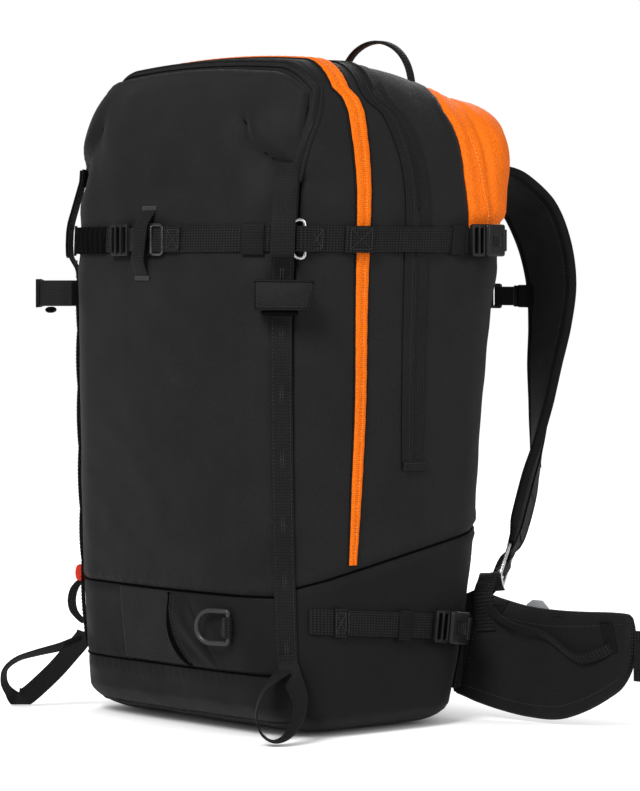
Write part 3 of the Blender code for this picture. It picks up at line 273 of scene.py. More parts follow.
# the bag's form
form = {"height": 0.6075, "halfWidth": 0.158, "halfDepth": 0.137, "corner": 0.0548, "crown": 0.0907, "foot": 0.0205,
           "sideBulge": 0.028, "frontBulge": 0.018, "toeLift": 0.0118, "toeHeight": 0.095, "crownSideDrop": 0.0107,
           "front": ((0.0, -0.1304), (0.16, -0.1371), (0.4, -0.1418), (0.68, -0.1436), (0.87, -0.1381),
                     (1.0, -0.1318)),
           "back": ((0.0, 0.0735), (0.1, 0.0917), (0.24, 0.1092), (0.48, 0.1245), (0.71, 0.1443), (0.89, 0.1611),
                    (1.0, 0.1775)),
           "top": ((-1.0, -0.0107), (-0.5, -0.0111), (0.0, -0.0187), (0.5, -0.0397), (1.0, -0.0504))}
seams = {"frontV": -0.9, "frontLean": 0.08, "hoodV": 0.733, "hoodLean": -0.467, "backU": 0.8, "pocketLow": 0.053,
         "pocketTop": 0.124, "bootZ": 0.1535, "bootRise": 0.0245,
         "hoodZ": 0.449, "backTop": 0.585, "backFoot": 0.02}
zipLines = {"burst": ((0.15, -0.41), (0.207, -0.384), (0.286, -0.358), (0.365, -0.368), (0.48, -0.395),
                      (0.538, -0.456), (0.567, -0.468), (0.591, -0.496), (0.6075, -0.54)),
            "main": ((0.234, 0.12), (0.444, 0.055), (0.48, 0.034), (0.51, -0.018), (0.539, -0.1), (0.568, -0.18),
                     (0.584, -0.265), (0.6075, -0.3)),
            "front": ((0.49, -0.915), (0.531, -0.85), (0.559, -0.79), (0.6075, -0.745)), "burstEnd": 0.15,
            "mainEnd": 0.235, "frontEnd": 0.49}
strapLines = {"upperZ": 0.434, "lowerZ": 0.104, "lowerY": -0.12, "lowerSlope": -0.091, "width": 0.022,
              "web": 0.0018, "lift": 0.0006}


def curveThrough(points, at):
    # a smooth curve through (position, value) points, for a whole array
    places, values = np.array(points).T
    at = np.clip(at, places[0], places[-1])
    i = np.clip(np.searchsorted(places, at, side="left") - 1, 0, len(places) - 2)
    before, after = np.maximum(i - 1, 0), np.minimum(i + 2, len(places) - 1)
    span = places[i + 1] - places[i]
    slopeLow = (values[i + 1] - values[before]) / (places[i + 1] - places[before]) * span
    slopeHigh = (values[after] - values[i]) / (places[after] - places[i]) * span
    t = (at - places[i]) / span
    return ((2 * t**3 - 3 * t**2 + 1) * values[i] + (t**3 - 2 * t**2 + t) * slopeLow
            + (3 * t**2 - 2 * t**3) * values[i + 1] + (t**3 - t**2) * slopeHigh)


def bagAt(u, v, w):
    # the bag's surface over points of the cube from -1 to 1
    u, v, w = (np.asarray(value, float) for value in (u, v, w))
    point = np.stack(np.broadcast_arrays(u, v, w), -1)
    spans = np.stack([np.full(point.shape[:-1], form["corner"] / form["halfWidth"]),
                      np.full(point.shape[:-1], form["corner"] / form["halfDepth"]),
                      np.where(point[..., 2] > 0, form["crown"], form["foot"]) / (form["height"] / 2)], -1)
    core = np.clip(point, spans - 1, 1 - spans)
    away = (point - core) / spans
    length = np.maximum(np.linalg.norm(away, axis=-1, keepdims=True), 1e-9)
    point = core + away * np.abs(away).max(-1, keepdims=True) / length * spans
    u, v, w = point[..., 0], point[..., 1], point[..., 2]
    z = (w + 1) / 2 * form["height"]
    level = z / form["height"]
    forward = np.clip(-v, 0, 1)
    front, back = curveThrough(form["front"], level), curveThrough(form["back"], level)
    x = u * form["halfWidth"] * (1 + form["sideBulge"] * (1 - v * v))
    y = front + (back - front) * (v + 1) / 2
    y = y - form["frontBulge"] * (1 - u * u) * forward * np.sqrt(np.sin(math.pi * np.clip(level, 0, 1)))
    top = np.clip((level - 0.55) / 0.45, 0, 1) ** 2
    toe = np.clip(1 - z / form["toeHeight"], 0, 1) ** 2 * np.clip((forward - 0.3) / 0.7, 0, 1) ** 2
    z = z + top * (curveThrough(form["top"], v) - form["crownSideDrop"] * u * u) + toe * form["toeLift"]
    return np.stack([x, y, z], -1)


def zipV(name, z):
    # the depth of the cube at which a zip stands, by height
    points = np.array(zipLines[name])
    return curveThrough(zipLines[name], np.clip(z, points[0, 0], points[-1, 0]))


def frontSeam(w):
    return seams["frontV"] + seams["frontLean"] * w


def hoodSeam(w):
    return seams["hoodV"] + seams["hoodLean"] * w


def levelOf(z):
    return 2 * np.asarray(z, float) / form["height"] - 1


def roundBag(turn, z):
    # a point at height z; turn 0 is the middle of the front, 1 of the right side, 2 of the back, -1 of the left
    turn, z = np.broadcast_arrays(np.asarray(turn, float), np.asarray(z, float))
    part = np.abs(turn)
    side = np.where(turn >= 0, 1.0, -1.0)
    u = side * np.interp(part, [0, 0.5, 1.5, 2], [0, 1, 1, 0])
    v = np.interp(part, [0, 0.5, 1.5, 2], [-1, -1, 1, 1])
    w = levelOf(z)
    for _ in range(5):
        w = w + 2 * (z - bagAt(u, v, w)[..., 2]) / form["height"]
    return bagAt(u, v, np.clip(w, -1, 1))


def turnAt(y, z):
    low, high = 0.5, 1.5
    for _ in range(24):
        middle = (low + high) / 2
        low, high = (middle, high) if roundBag(middle, z)[1] < y else (low, middle)
    return low


def turnAtX(x, z):
    low, high = 0.0, 0.5
    for _ in range(24):
        middle = (low + high) / 2
        low, high = (middle, high) if roundBag(middle, z)[0] < abs(x) else (low, middle)
    return math.copysign(low, x)


def topAt(x, y):
    # the point of the crown over x and y
    u, v, low, high = x / form["halfWidth"], 0.0, -1.0, 1.0
    for _ in range(26):
        v = (low + high) / 2
        here = bagAt(u, v, 1)
        u += (x - here[0]) / form["halfWidth"] * 0.5
        low, high = (v, high) if here[1] < y else (low, v)
    return here


def unit(vectors):
    return vectors / np.maximum(np.linalg.norm(vectors, axis=-1, keepdims=True), 1e-12)


def upright(route):
    return np.tile([0, 0, 1.0], (len(route), 1))


def waysOf(route):
    # the way along a route at each of its points
    return unit(np.gradient(route, axis=0))


def laidOn(place, s, t, lift=0.0):
    # points of a sheet laid on a surface, lifted off it, and the way out of it
    step = 2e-3
    s, t = np.broadcast_arrays(np.asarray(s, float), np.asarray(t, float))
    here = place(s, t)
    out = unit(np.cross(place(s + step, t) - place(s - step, t), place(s, t + step) - place(s, t - step)))
    core = np.stack([here[..., 0] * 0, here[..., 1] * 0, np.clip(here[..., 2], 0.1, 0.48)], -1)
    out = out * np.where((out * (here - core)).sum(-1, keepdims=True) < 0, -1, 1)
    return here + out * np.asarray(lift)[..., None], out


# making pieces
def only(piece):
    bpy.ops.object.select_all(action="DESELECT")
    piece.select_set(True)
    bpy.context.view_layer.objects.active = piece


def inEdit(piece, *steps):
    only(piece)
    bpy.ops.object.mode_set(mode="EDIT")
    bpy.ops.mesh.select_all(action="SELECT")
    for step in steps:
        step()
    bpy.ops.object.mode_set(mode="OBJECT")


def applied(piece, kind, **settings):
    # adds a modifier with these settings and applies it
    only(piece)
    modifier = piece.modifiers.new("work", kind)
    for name, value in settings.items():
        setattr(modifier, name, value)
    bpy.ops.object.modifier_apply(modifier=modifier.name)


def smooth(piece, angle=40):
    only(piece)
    bpy.ops.object.shade_smooth_by_angle(angle=math.radians(angle))


def done(piece, name, finish, body, nodes=(), angle=40):
    # names a finished piece, gives it its finish and says what it rides on and stands for
    piece.name = name
    piece.data.materials.clear()
    piece.data.materials.append(finishes[finish])
    smooth(piece, angle)
    if body:
        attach(piece, body)
    if nodes:
        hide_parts(*nodes)
    return piece


def gridOf(spots, outs=None, mapped=None):
    # a sheet through an array of points, with a map in metres
    rows, columns = spots.shape[:2]
    bpy.ops.mesh.primitive_grid_add(x_subdivisions=rows - 1, y_subdivisions=columns - 1, size=2)
    piece = bpy.context.object
    data = piece.data
    flat = np.zeros(len(data.vertices) * 3)
    data.vertices.foreach_get("co", flat)
    flat = flat.reshape(-1, 3)
    i = np.rint((flat[:, 0] + 1) / 2 * (rows - 1)).astype(int)
    j = np.rint((flat[:, 1] + 1) / 2 * (columns - 1)).astype(int)
    data.vertices.foreach_set("co", spots[i, j].ravel())
    if mapped is None:
        along = np.concatenate([[0], np.cumsum(np.linalg.norm(np.diff(spots[:, columns // 2], axis=0), axis=1))])
        across = np.concatenate([[0], np.cumsum(np.linalg.norm(np.diff(spots[rows // 2], axis=0), axis=1))])
        mapped = np.stack(np.meshgrid(along, across, indexing="ij"), -1)
    corners = np.zeros(len(data.loops), int)
    data.loops.foreach_get("vertex_index", corners)
    data.uv_layers[0].data.foreach_set("uv", mapped[i, j][corners].ravel())
    data.update()
    if outs is not None:
        face = data.polygons[len(data.polygons) // 2]
        near = np.argmin(((spots - np.array(face.center)) ** 2).sum(-1))
        if Vector(outs.reshape(-1, 3)[near]).dot(face.normal) < 0:
            inEdit(piece, lambda: bpy.ops.mesh.flip_normals())
    return piece


def sheet(spots, outs, thickness, rounding=0.0):
    # a sheet of some thickness standing out from the points
    piece = gridOf(spots, outs)
    applied(piece, "SOLIDIFY", thickness=thickness, offset=1.0, use_even_offset=True)
    if rounding:
        applied(piece, "BEVEL", width=rounding, segments=2, limit_method="ANGLE", angle_limit=math.radians(50))
    return piece


def laidSheet(place, countS, countT, lift, thickness, rounding=0.0):
    s, t = np.meshgrid(np.linspace(0, 1, countS), np.linspace(0, 1, countT), indexing="ij")
    return sheet(*laidOn(place, s, t, lift(s, t) if callable(lift) else lift), thickness, rounding)


def flipped(points, side):
    return np.asarray(points, float) * np.array([side, 1, 1])


def mirrored(side, *arrays):
    return [flipped(points, side) for points in arrays]


sides = ((1, "right"), (-1, "left"))


def ringed(rings, closed=False):
    # a body through rings of points; its ends are closed unless the rings meet
    rings = np.asarray(rings, float)
    if closed:
        rings = np.concatenate([rings, rings[:1]])
    piece = gridOf(np.concatenate([rings, rings[:, :1]], 1))
    inEdit(piece, lambda: bpy.ops.mesh.remove_doubles(threshold=0.00001))
    if not closed:
        inEdit(piece, lambda: bpy.ops.mesh.fill_holes(sides=0))
    inEdit(piece, lambda: bpy.ops.mesh.normals_make_consistent(inside=False))
    return piece


def sectionRings(route, sides, outs, outline):
    # rings that carry an outline of (side, out) shares in metres along a route
    return [[np.array(p) + np.array(a) * s + np.array(o) * h for s, h in outline(i)]
            for i, (p, a, o) in enumerate(zip(route, sides, outs))]


def plate(loops, thickness, at, edge=0.0004):
    # a flat plate with holes, in place; the first loop is its edge
    data = bpy.data.curves.new("plate", "CURVE")
    data.dimensions = "2D"
    data.fill_mode = "BOTH"
    data.extrude = thickness / 2 - edge
    data.bevel_depth = edge
    data.bevel_resolution = 1
    data.offset = -edge
    for loop in loops:
        line = data.splines.new("POLY")
        line.points.add(len(loop) - 1)
        for point, (x, y) in zip(line.points, loop):
            point.co = (x, y, 0, 1)
        line.use_cyclic_u = True
    piece = bpy.data.objects.new("plate", data)
    bpy.context.scene.collection.objects.link(piece)
    only(piece)
    bpy.ops.object.convert(target="MESH")
    piece = bpy.context.object
    inEdit(piece, lambda: bpy.ops.mesh.remove_doubles(threshold=0.00001))
    piece.data.transform(at)
    return piece


def roundLoop(x0, x1, y0, y1, radius, steps=5):
    # a rectangle with round corners
    found = []
    for cx, cy, start in ((x1 - radius, y1 - radius, 0), (x0 + radius, y1 - radius, 90),
                          (x0 + radius, y0 + radius, 180), (x1 - radius, y0 + radius, 270)):
        for k in range(steps + 1):
            turn = math.radians(start + 90 * k / steps)
            found.append((cx + radius * math.cos(turn), cy + radius * math.sin(turn)))
    return found


def block(low, high, at=Matrix(), rounding=0.0, segments=3):
    # a rounded block in a matrix's own axes
    low, high = Vector(low), Vector(high)
    bpy.ops.mesh.primitive_cube_add(size=1)
    piece = bpy.context.object
    piece.data.transform(at @ Matrix.Translation((low + high) / 2) @ Matrix.Diagonal((*(high - low), 1)))
    if rounding:
        applied(piece, "BEVEL", width=rounding, segments=segments, limit_method="NONE")
    return piece


def joined(pieces):
    # one piece made of several
    bpy.ops.object.select_all(action="DESELECT")
    for piece in pieces:
        piece.select_set(True)
    bpy.context.view_layer.objects.active = pieces[0]
    bpy.ops.object.join()
    return bpy.context.object


def axesAt(origin, along, out):
    # a matrix with x along, z out and its origin in place
    along, out = Vector(along).normalized(), Vector(out).normalized()
    across = out.cross(along).normalized()
    out = along.cross(across)
    axes = Matrix((along, across, out)).transposed().to_4x4()
    axes.translation = Vector(origin)
    return axes


def smoothRoute(points, steps):
    found = []
    for i in range(len(points) - 1):
        a, b = Vector(points[i]), Vector(points[i + 1])
        before = Vector(points[i - 1]) if i else a - (b - a)
        after = Vector(points[i + 2]) if i + 2 < len(points) else b + (b - a)
        for step in range(steps):
            t = step / steps
            found.append(0.5 * (2 * a + (b - before) * t + (2 * before - 5 * a + 4 * b - after) * t * t
                                + (3 * a - before - 3 * b + after) * t ** 3))
    return np.array([*found, Vector(points[-1])])


def tubeAlong(route, radius, sides=10, closed=False, squash=1.0, up=(0, 0, 1)):
    # a round or oval tube through points
    route = np.asarray(route, float)
    radius = np.broadcast_to(radius, len(route))
    if closed:
        ways = np.roll(route, -1, 0) - np.roll(route, 1, 0)
    else:
        ways = np.gradient(route, axis=0)
    ways = unit(ways)
    first = unit(np.cross(ways, np.array(up, float)))
    second = np.cross(first, ways)
    turns = np.linspace(0, 2 * math.pi, sides, endpoint=False)
    rings = [[p + r * (a * math.cos(t) + b * math.sin(t) * squash) for t in turns]
             for p, r, a, b in zip(route, radius, first, second)]
    return ringed(rings, closed)


threadWeight = 1.2   # how much thicker the thread is than the stitch radius asked for


def stitchLine(route, outs, pitch=0.0034, length=0.0024, radius=0.00032, sink=0.0001):
    # separate stitches along a line, all in one mesh
    radius = radius * threadWeight
    route, outs = np.asarray(route, float), np.asarray(outs, float)
    run = np.concatenate([[0], np.cumsum(np.linalg.norm(np.diff(route, axis=0), axis=1))])
    count = max(int(run[-1] / pitch), 1)
    corners, faces = [], []
    for k in range(count):
        middle = (k + 0.5) * run[-1] / count
        ends = [np.array([np.interp(middle + way * length / 2, run, route[:, c]) for c in range(3)])
                for way in (-1, 1)]
        out = unit(np.array([np.interp(middle, run, outs[:, c]) for c in range(3)]))
        across = unit(np.cross(ends[1] - ends[0], out))
        centre = (ends[0] + ends[1]) / 2 + out * (radius - sink)
        base = len(corners)
        corners += [ends[0] - out * sink, ends[1] - out * sink, centre + across * radius, centre - across * radius,
                    centre + out * radius, centre - out * radius * 1.4]
        faces += [(base, base + 4, base + 2), (base, base + 3, base + 4), (base + 1, base + 2, base + 4),
                  (base + 1, base + 4, base + 3),
                  (base, base + 2, base + 5), (base, base + 5, base + 3), (base + 1, base + 5, base + 2),
                  (base + 1, base + 3, base + 5)]
    data = bpy.data.meshes.new("stitches")
    data.from_pydata([tuple(c) for c in corners], [], faces)
    piece = bpy.data.objects.new("stitches", data)
    bpy.context.scene.collection.objects.link(piece)
    inEdit(piece, lambda: bpy.ops.mesh.normals_make_consistent(inside=False))
    return piece


# fabric of the bag
fabric = {"cuts": 119, "wall": 0.0014, "gap": 0.0005, "groove": 0.0016, "grooveHalf": 0.0022, "pillow": 0.0009,
          "waves": 0.0011, "pucker": 0.00045, "lidFold": 0.0085, "lidCrown": 0.0016, "lidRoll": 0.0026,
          "hoodPuff": 0.0024, "strapBulge": 0.0016, "padChannel": 0.005, "backWall": 0.0085}
lidFoldLine = ((0.088, -0.143, 0.548), (0.102, -0.139, 0.536), (0.112, -0.141, 0.52), (0.134, -0.132, 0.504),
               (0.147, -0.119, 0.49))
dartLine = ((0.156, -0.06, 0.144), (0.158, -0.045, 0.113))
footSeamLine = ((0.146, -0.121, 0.066), (0.152, -0.114, 0.048), (0.157, -0.1, 0.026))


def unitStep(value, low, high):
    t = np.clip((value - low) / (high - low), 0, 1)
    return t * t * (3 - 2 * t)


def hump(away, half):
    return np.exp(-(away / half) ** 2)


def softWave(spots, scale, phase=0.0):
    # slow swells that look unplanned, from -1 to 1
    x, y, z = (spots * scale).T
    return (np.sin(x + 1.7 * np.sin(0.7 * z + phase) + phase) * np.sin(0.9 * z - 0.6 * y + 0.4)
            + 0.6 * np.sin(1.9 * y - 0.8 * x + 2.1 + phase) * np.sin(1.3 * z + 0.5 * x + 0.7)) / 1.6


def nearLine(spots, line):
    # how far each spot is from a line, how far along it, and how far above it
    best, share, above = np.full(len(spots), 9.0), np.zeros(len(spots)), np.zeros(len(spots))
    for k, (a, b) in enumerate(zip(line, line[1:])):
        a, b = np.array(a), np.array(b)
        t = np.clip((spots - a) @ (b - a) / ((b - a) @ (b - a)), 0, 1)
        gap = spots - (a + t[:, None] * (b - a))
        away = np.linalg.norm(gap, axis=1)
        closer = away < best
        best[closer], share[closer], above[closer] = away[closer], (k + t[closer]) / (len(line) - 1), gap[closer, 2]
    return best, share, above


def hoodSplit(z):
    # where the stitched seam of the orange hood stands, as a depth of the cube
    return 0.526 + 2.1 * (0.532 - z)


def lowerStrapZ(y):
    return strapLines["lowerZ"] + strapLines["lowerSlope"] * (y - strapLines["lowerY"])


def calmNear(cube, spots):
    # 0 where webbing, tape, zips or hardware lie on the bag, 1 away from them
    _, v, w = cube.T
    x, y, z = spots.T
    corner = np.hypot(np.abs(x) - 0.15, y + 0.123)
    calm = unitStep(corner, 0.012, 0.03)
    calm = np.where(z > 0.52, 1.0, calm)
    calm = calm * unitStep(np.abs(z - strapLines["upperZ"]), 0.011, 0.024)
    onSide = unitStep(y, -0.122, -0.108)
    calm = calm * (1 - onSide * (1 - unitStep(np.abs(z - lowerStrapZ(y)), 0.011, 0.022)))
    for line, half, end in (("burst", 0.01, "burstEnd"), ("main", 0.014, "mainEnd"), ("front", 0.008, "frontEnd")):
        near = 1 - unitStep(np.abs(v - zipV(line, (w + 1) / 2 * form["height"])) * form["halfDepth"],
                            half, half + 0.012)
        calm = calm * (1 - near * (z > zipLines[end] - 0.01))
    return calm


def clothLift(cube, spots):
    # how far the fabric stands off the plain form of the bag
    u, v, w = cube.T
    x, y, z = spots.T
    calm = calmNear(cube, spots)
    front = unitStep(-v, 0.55, 0.9)
    ahead = v < frontSeam(w)
    seamAway = [np.abs(v - frontSeam(w)) * form["halfDepth"]
                + np.where(v < -0.999, (1 - np.abs(u)) * form["halfWidth"], 0)]
    seamAway.append(np.where(ahead, np.minimum(np.abs(z - seams["pocketTop"]), np.abs(z - seams["pocketLow"])),
                             1.0))
    bootLine = seams["bootZ"] + seams["bootRise"] * v
    seamAway.append(np.where(~ahead, np.abs(z - bootLine), 1.0))
    hooded = z > seams["hoodZ"] - 0.004
    hoodSide = v > hoodSeam(w)
    seamAway.append(np.where(hooded, np.abs(v - hoodSeam(w)) * form["halfDepth"], 1.0))
    seamAway.append(np.where(hoodSide, np.abs(z - seams["hoodZ"]), 1.0))
    seamAway.append(np.where(hooded & hoodSide, np.abs(v - hoodSplit(z)) * form["halfDepth"], 1.0))
    away = np.min(seamAway, 0)
    lift = -fabric["groove"] * hump(away, fabric["grooveHalf"]) + fabric["pillow"] * calm * hump(away - 0.0075,
        0.0045)
    puckers = np.sin((x + y) * 520 + 2 * np.sin(z * 60)) * np.sin(z * 410 + 3 * x * 40)
    lift = lift + fabric["pucker"] * calm * hump(away - 0.004, 0.007) * puckers
    lift = lift + fabric["waves"] * calm * softWave(spots, 34) * (0.55 + 0.45 * softWave(spots, 13, 1.1))
    lift = lift + 0.35 * fabric["waves"] * calm * softWave(spots, 95, 2.0)
    lift = lift + fabric["strapBulge"] * calm * hump(np.abs(z - strapLines["upperZ"]) - 0.03, 0.016)
    for mirror in (1, -1):   # the pleat at each shoulder of the lid
        line = np.array(lidFoldLine) * (mirror, 1, 1)
        gap, share, above = nearLine(spots, line)
        strength = unitStep(share, 0.02, 0.35) * (1 - 0.45 * unitStep(share, 0.8, 1.0)) * (0.75
            if mirror < 0 else 1)
        under = np.where(above < 0, hump(gap, 0.022), hump(gap, 0.0042))
        lift = lift - fabric["lidFold"] * strength * under * unitStep(-v, 0.2, 0.6)
        soft, share, above = nearLine(spots,
                                      np.array(((0.101, -0.131, 0.572), (0.1005, -0.139, 0.538))) * (mirror, 1, 1))
        lift = lift - 0.0016 * hump(soft, 0.01) * share * unitStep(-v, 0.2, 0.6)
    lift = lift + fabric["lidCrown"] * front * hump(z - 0.535, 0.045) * unitStep(0.105 - np.abs(x), 0, 0.05)
    for mirror in (1, -1):
        for line, deep in ((dartLine, 0.0012), (footSeamLine, 0.0012)):
            gap, share, above = nearLine(spots, np.array(line) * (mirror, 1, 1))
            lift = lift - deep * hump(gap, 0.0022) * unitStep(1 - share, 0.0, 0.4)
    lidRoll = unitStep(frontSeam(w) - v, 0.0, 0.075) * unitStep(z, 0.49, 0.525)
    lift = lift + fabric["lidRoll"] * lidRoll
    rear = unitStep(v - hoodSplit(z), 0.0, 0.16) * unitStep(z, seams["hoodZ"], seams["hoodZ"] + 0.01)
    lift = lift + fabric["hoodPuff"] * rear * (1 - 0.55 * unitStep(v, 0.85, 1.0)) * (1
        + 0.12 * softWave(spots, 45, 0.3))
    hoodZone = hoodSide & hooded
    lift = lift + np.where(hoodZone, 0.0007 * unitStep(away, 0.001, 0.012) * softWave(spots, 70, 1.4), 0)
    return lift


def backLift(cube, spots):
    # padded columns, air channels and quilting of the back
    u = cube[:, 0]
    x, z = spots[:, 0], spots[:, 2]
    edge = np.minimum(seams["backU"] - np.abs(u), 0.2) * form["halfWidth"]
    ends = np.minimum(np.clip(seams["backTop"] - z, 0, 1), np.clip(z - seams["backFoot"], 0, 1))
    rounding = unitStep(np.minimum(edge, ends), 0.0, 0.012)
    channel = hump(np.abs(x), 0.017) * unitStep(z, 0.1, 0.16) * unitStep(0.56 - z, 0, 0.04)
    quilt = np.min([np.abs(z - level - 0.1 * np.abs(x)) for level in (0.165, 0.235, 0.305, 0.375, 0.445, 0.515)], 0)
    lift = 0.0026 + 0.0034 * rounding - fabric["padChannel"] * channel
    lift = lift - 0.0022 * hump(quilt, 0.003) * unitStep(np.abs(x), 0.02, 0.034) * unitStep(edge, 0.006, 0.014)
    return lift + 0.001 * (1 - hump(quilt, 0.016)) * unitStep(np.abs(x), 0.02, 0.05) + 0.0003 * softWave(spots, 90)


def bagOut(cube):
    # the plain form and its way out, for points on the cube
    here = bagAt(*cube.T)
    face = np.abs(cube).argmax(1)
    rows = np.arange(len(cube))
    ends = []
    for move in (1, 2):
        axis = (face + move) % 3
        low, high = cube.copy(), cube.copy()
        low[rows, axis] = np.clip(low[rows, axis] - 0.004, -1, 1)
        high[rows, axis] = np.clip(high[rows, axis] + 0.004, -1, 1)
        ends.append(bagAt(*high.T) - bagAt(*low.T))
    out = unit(np.cross(ends[0], ends[1]))
    core = np.stack([here[:, 0] * 0, here[:, 0] * 0, np.clip(here[:, 2], 0.1, form["height"] - 0.12)], -1)
    return here, out * np.where((out * (here - core)).sum(1, keepdims=True) < 0, -1, 1)


def vertexPlaces(data):
    flat = np.zeros(len(data.vertices) * 3)
    data.vertices.foreach_get("co", flat)
    return flat.reshape(-1, 3)


def seamHalves():
    # half of the gap at a seam, in each direction of the cube
    half = fabric["gap"] / 2
    return half / form["halfWidth"], half / form["halfDepth"], half / (form["height"] / 2)


def pattern():
    # the cube that all panels are cut from, sliced on both sides of each seam
    bpy.ops.object.select_all(action="DESELECT")
    bpy.ops.mesh.primitive_cube_add(size=2)
    cube = bpy.context.object
    inEdit(cube, lambda: bpy.ops.mesh.subdivide(number_cuts=fabric["cuts"]))
    halves = seamHalves()
    lean = 2 * seams["bootRise"] / form["height"]
    cutsAt = [(1, seams["frontV"], seams["frontLean"]), (2, levelOf(seams["pocketLow"]), 0),
              (2, levelOf(seams["pocketTop"]), 0),
              (2, levelOf(seams["bootZ"]), lean), (1, seams["hoodV"], seams["hoodLean"]),
              (2, levelOf(seams["hoodZ"]), 0), (0, -seams["backU"], 0),
              (0, seams["backU"], 0), (2, levelOf(seams["backTop"]), 0), (2, levelOf(seams["backFoot"]), 0)]
    only(cube)
    bpy.ops.object.mode_set(mode="EDIT")
    for axis, value, tip in cutsAt:
        for side in (-1, 1):
            place, way = [0, 0, 0], [0, 0, 0]
            place[axis], way[axis] = value + side * halves[axis], 1
            if axis:
                way[3 - axis] = -tip
            bpy.ops.mesh.select_all(action="SELECT")
            bpy.ops.mesh.bisect(plane_co=place, plane_no=way)
    bpy.ops.object.mode_set(mode="OBJECT")
    data = cube.data
    spots = vertexPlaces(data)
    corners = np.zeros(len(data.loops), int)
    data.loops.foreach_get("vertex_index", corners)
    normals = np.zeros(len(data.polygons) * 3)
    data.polygons.foreach_get("normal", normals)
    counts = np.zeros(len(data.polygons), int)
    data.polygons.foreach_get("loop_total", counts)
    facing = np.repeat(np.abs(normals.reshape(-1, 3)).argmax(1), counts)
    real = spots[corners] * (form["halfWidth"], form["halfDepth"], form["height"] / 2)
    mapped = np.where((facing == 0)[:, None], real[:, [1, 2]],
                      np.where((facing == 1)[:, None], real[:, [0, 2]], real[:, [0, 1]]))
    data.uv_layers[0].data.foreach_set("uv", mapped.ravel())
    return cube


def cutPanel(cube, name, wanted, finish, node, wall, liftOf):
    piece = cube.copy()
    piece.data = cube.data.copy()
    bpy.context.scene.collection.objects.link(piece)
    centres = np.zeros(len(piece.data.polygons) * 3)
    piece.data.polygons.foreach_get("center", centres)
    keep = wanted(*centres.reshape(-1, 3).T)
    only(piece)
    bpy.ops.object.mode_set(mode="EDIT")
    bpy.ops.mesh.select_mode(type="FACE")
    bpy.ops.mesh.select_all(action="DESELECT")
    bpy.ops.object.mode_set(mode="OBJECT")
    piece.data.polygons.foreach_set("select", ~keep)
    bpy.ops.object.mode_set(mode="EDIT")
    bpy.ops.mesh.delete(type="FACE")
    bpy.ops.mesh.select_mode(type="VERT")
    bpy.ops.object.mode_set(mode="OBJECT")
    points = vertexPlaces(piece.data)
    here, out = bagOut(points)
    piece.data.vertices.foreach_set("co", (here + out * liftOf(points, here)[:, None]).ravel())
    piece.data.update()
    applied(piece, "SOLIDIFY", thickness=wall, offset=-1.0)
    return done(piece, name, finish, "bag", (node,), 60)


def makePanels():
    cube = pattern()
    low, top = levelOf(seams["pocketLow"]), levelOf(seams["pocketTop"])
    boot, lean = levelOf(seams["bootZ"]), 2 * seams["bootRise"] / form["height"]
    hood, opening, foot = levelOf(seams["hoodZ"]), levelOf(seams["backTop"]), levelOf(seams["backFoot"])
    halfU, halfV, halfW = seamHalves()

    def opened(u, v, w, margin):
        return (v > 0.999) & (np.abs(u) < seams["backU"] + margin * halfU) & (w > foot
            - margin * halfW) & (w < opening + margin * halfW)

    def isBoot(u, v, w):
        ahead = (v < frontSeam(w) - halfV) & (w < low - halfW)
        return ~opened(u, v, w, 1) & (ahead | ((v > frontSeam(w) + halfV) & (w - lean * v < boot - halfW)))

    def isBag(u, v, w):
        hooded = (v > hoodSeam(w) - halfV) & (w > hood - halfW)
        return (v > frontSeam(w) + halfV) & (w - lean * v > boot + halfW) & ~hooded & ~opened(u, v, w, 1)

    def isHood(u, v, w):
        return (v > hoodSeam(w) + halfV) & (w > hood + halfW) & ~opened(u, v, w, 1)

    def isFront(u, v, w):
        return (v < frontSeam(w) - halfV) & (w > top + halfW)

    def isPocket(u, v, w):
        return (v < frontSeam(w) - halfV) & (w > low + halfW) & (w < top - halfW)

    for name, wanted, finish, slot, node in (
            ("basePanel", isBoot, "boot", "dark_fabric", "base_panel"),
            ("frontPanel", isFront, "shell", "black_fabric", "front_panel"),
            ("lowerPocket", isPocket, "boot", "black_fabric", "lower_pocket"),
            ("sidePanels", isBag, "shell", "black_fabric", "main_bag"),
            ("orangeHood", isHood, "hood", "orange_fabric", "orange_top_panel")):
        cutPanel(cube, name, wanted, finish, node, fabric["wall"], clothLift)
    back = cutPanel(cube, "backPadding", lambda u, v, w: opened(u, v, w, -1), "spacerMesh", "back_panel",
                    fabric["backWall"], backLift)
    bpy.data.objects.remove(cube)


def makeSeamShadeCords():
    # the near-black cord sunk in the seams of the front, the pocket and the base: painted shade for the dark seam
    # lines
    lines = []
    for level in (levelOf(seams["pocketTop"]), levelOf(seams["pocketLow"])):
        back = frontSeam(level)
        corner = np.linspace(back, -1, 9)
        cube = [(-1, v, level) for v in corner] + [(u, -1, level) for u in np.linspace(-0.98, 0.98, 70)]
        lines.append(np.array(cube + [(1, v, level) for v in corner[::-1]]))
    for u in (-1, 1):
        lines.append(np.array([(u, frontSeam(w), w) for w in np.linspace(-0.93, 0.9, 90)]))
        lines.append(np.array([(u, v, levelOf(seams["bootZ"] + seams["bootRise"] * v))
                               for v in np.linspace(seams["frontV"], 0.86, 60)]))
    cords = []
    for cube in lines:
        spots, out = bagOut(cube)
        tall = np.ptp(cube[:, 2]) > 1
        line = spots + out * (0.0006 + clothLift(cube, spots))[:, None]
        cords.append(tubeAlong(line, 0.0006, 6, up=(0, 1, 0)) if tall else tubeAlong(line, 0.0009, 6))
    done(joined(cords), "seamShadeCord", "shadeCord", "bag")


makePanels()
makeSeamShadeCords()
print("bag panels cut and laid")


# laying strips on the bag
def onBag(turn, z, lift=0.0):
    # points of the bag at a turn and a height, and the way out of it
    return laidOn(roundBag, turn, z, lift)


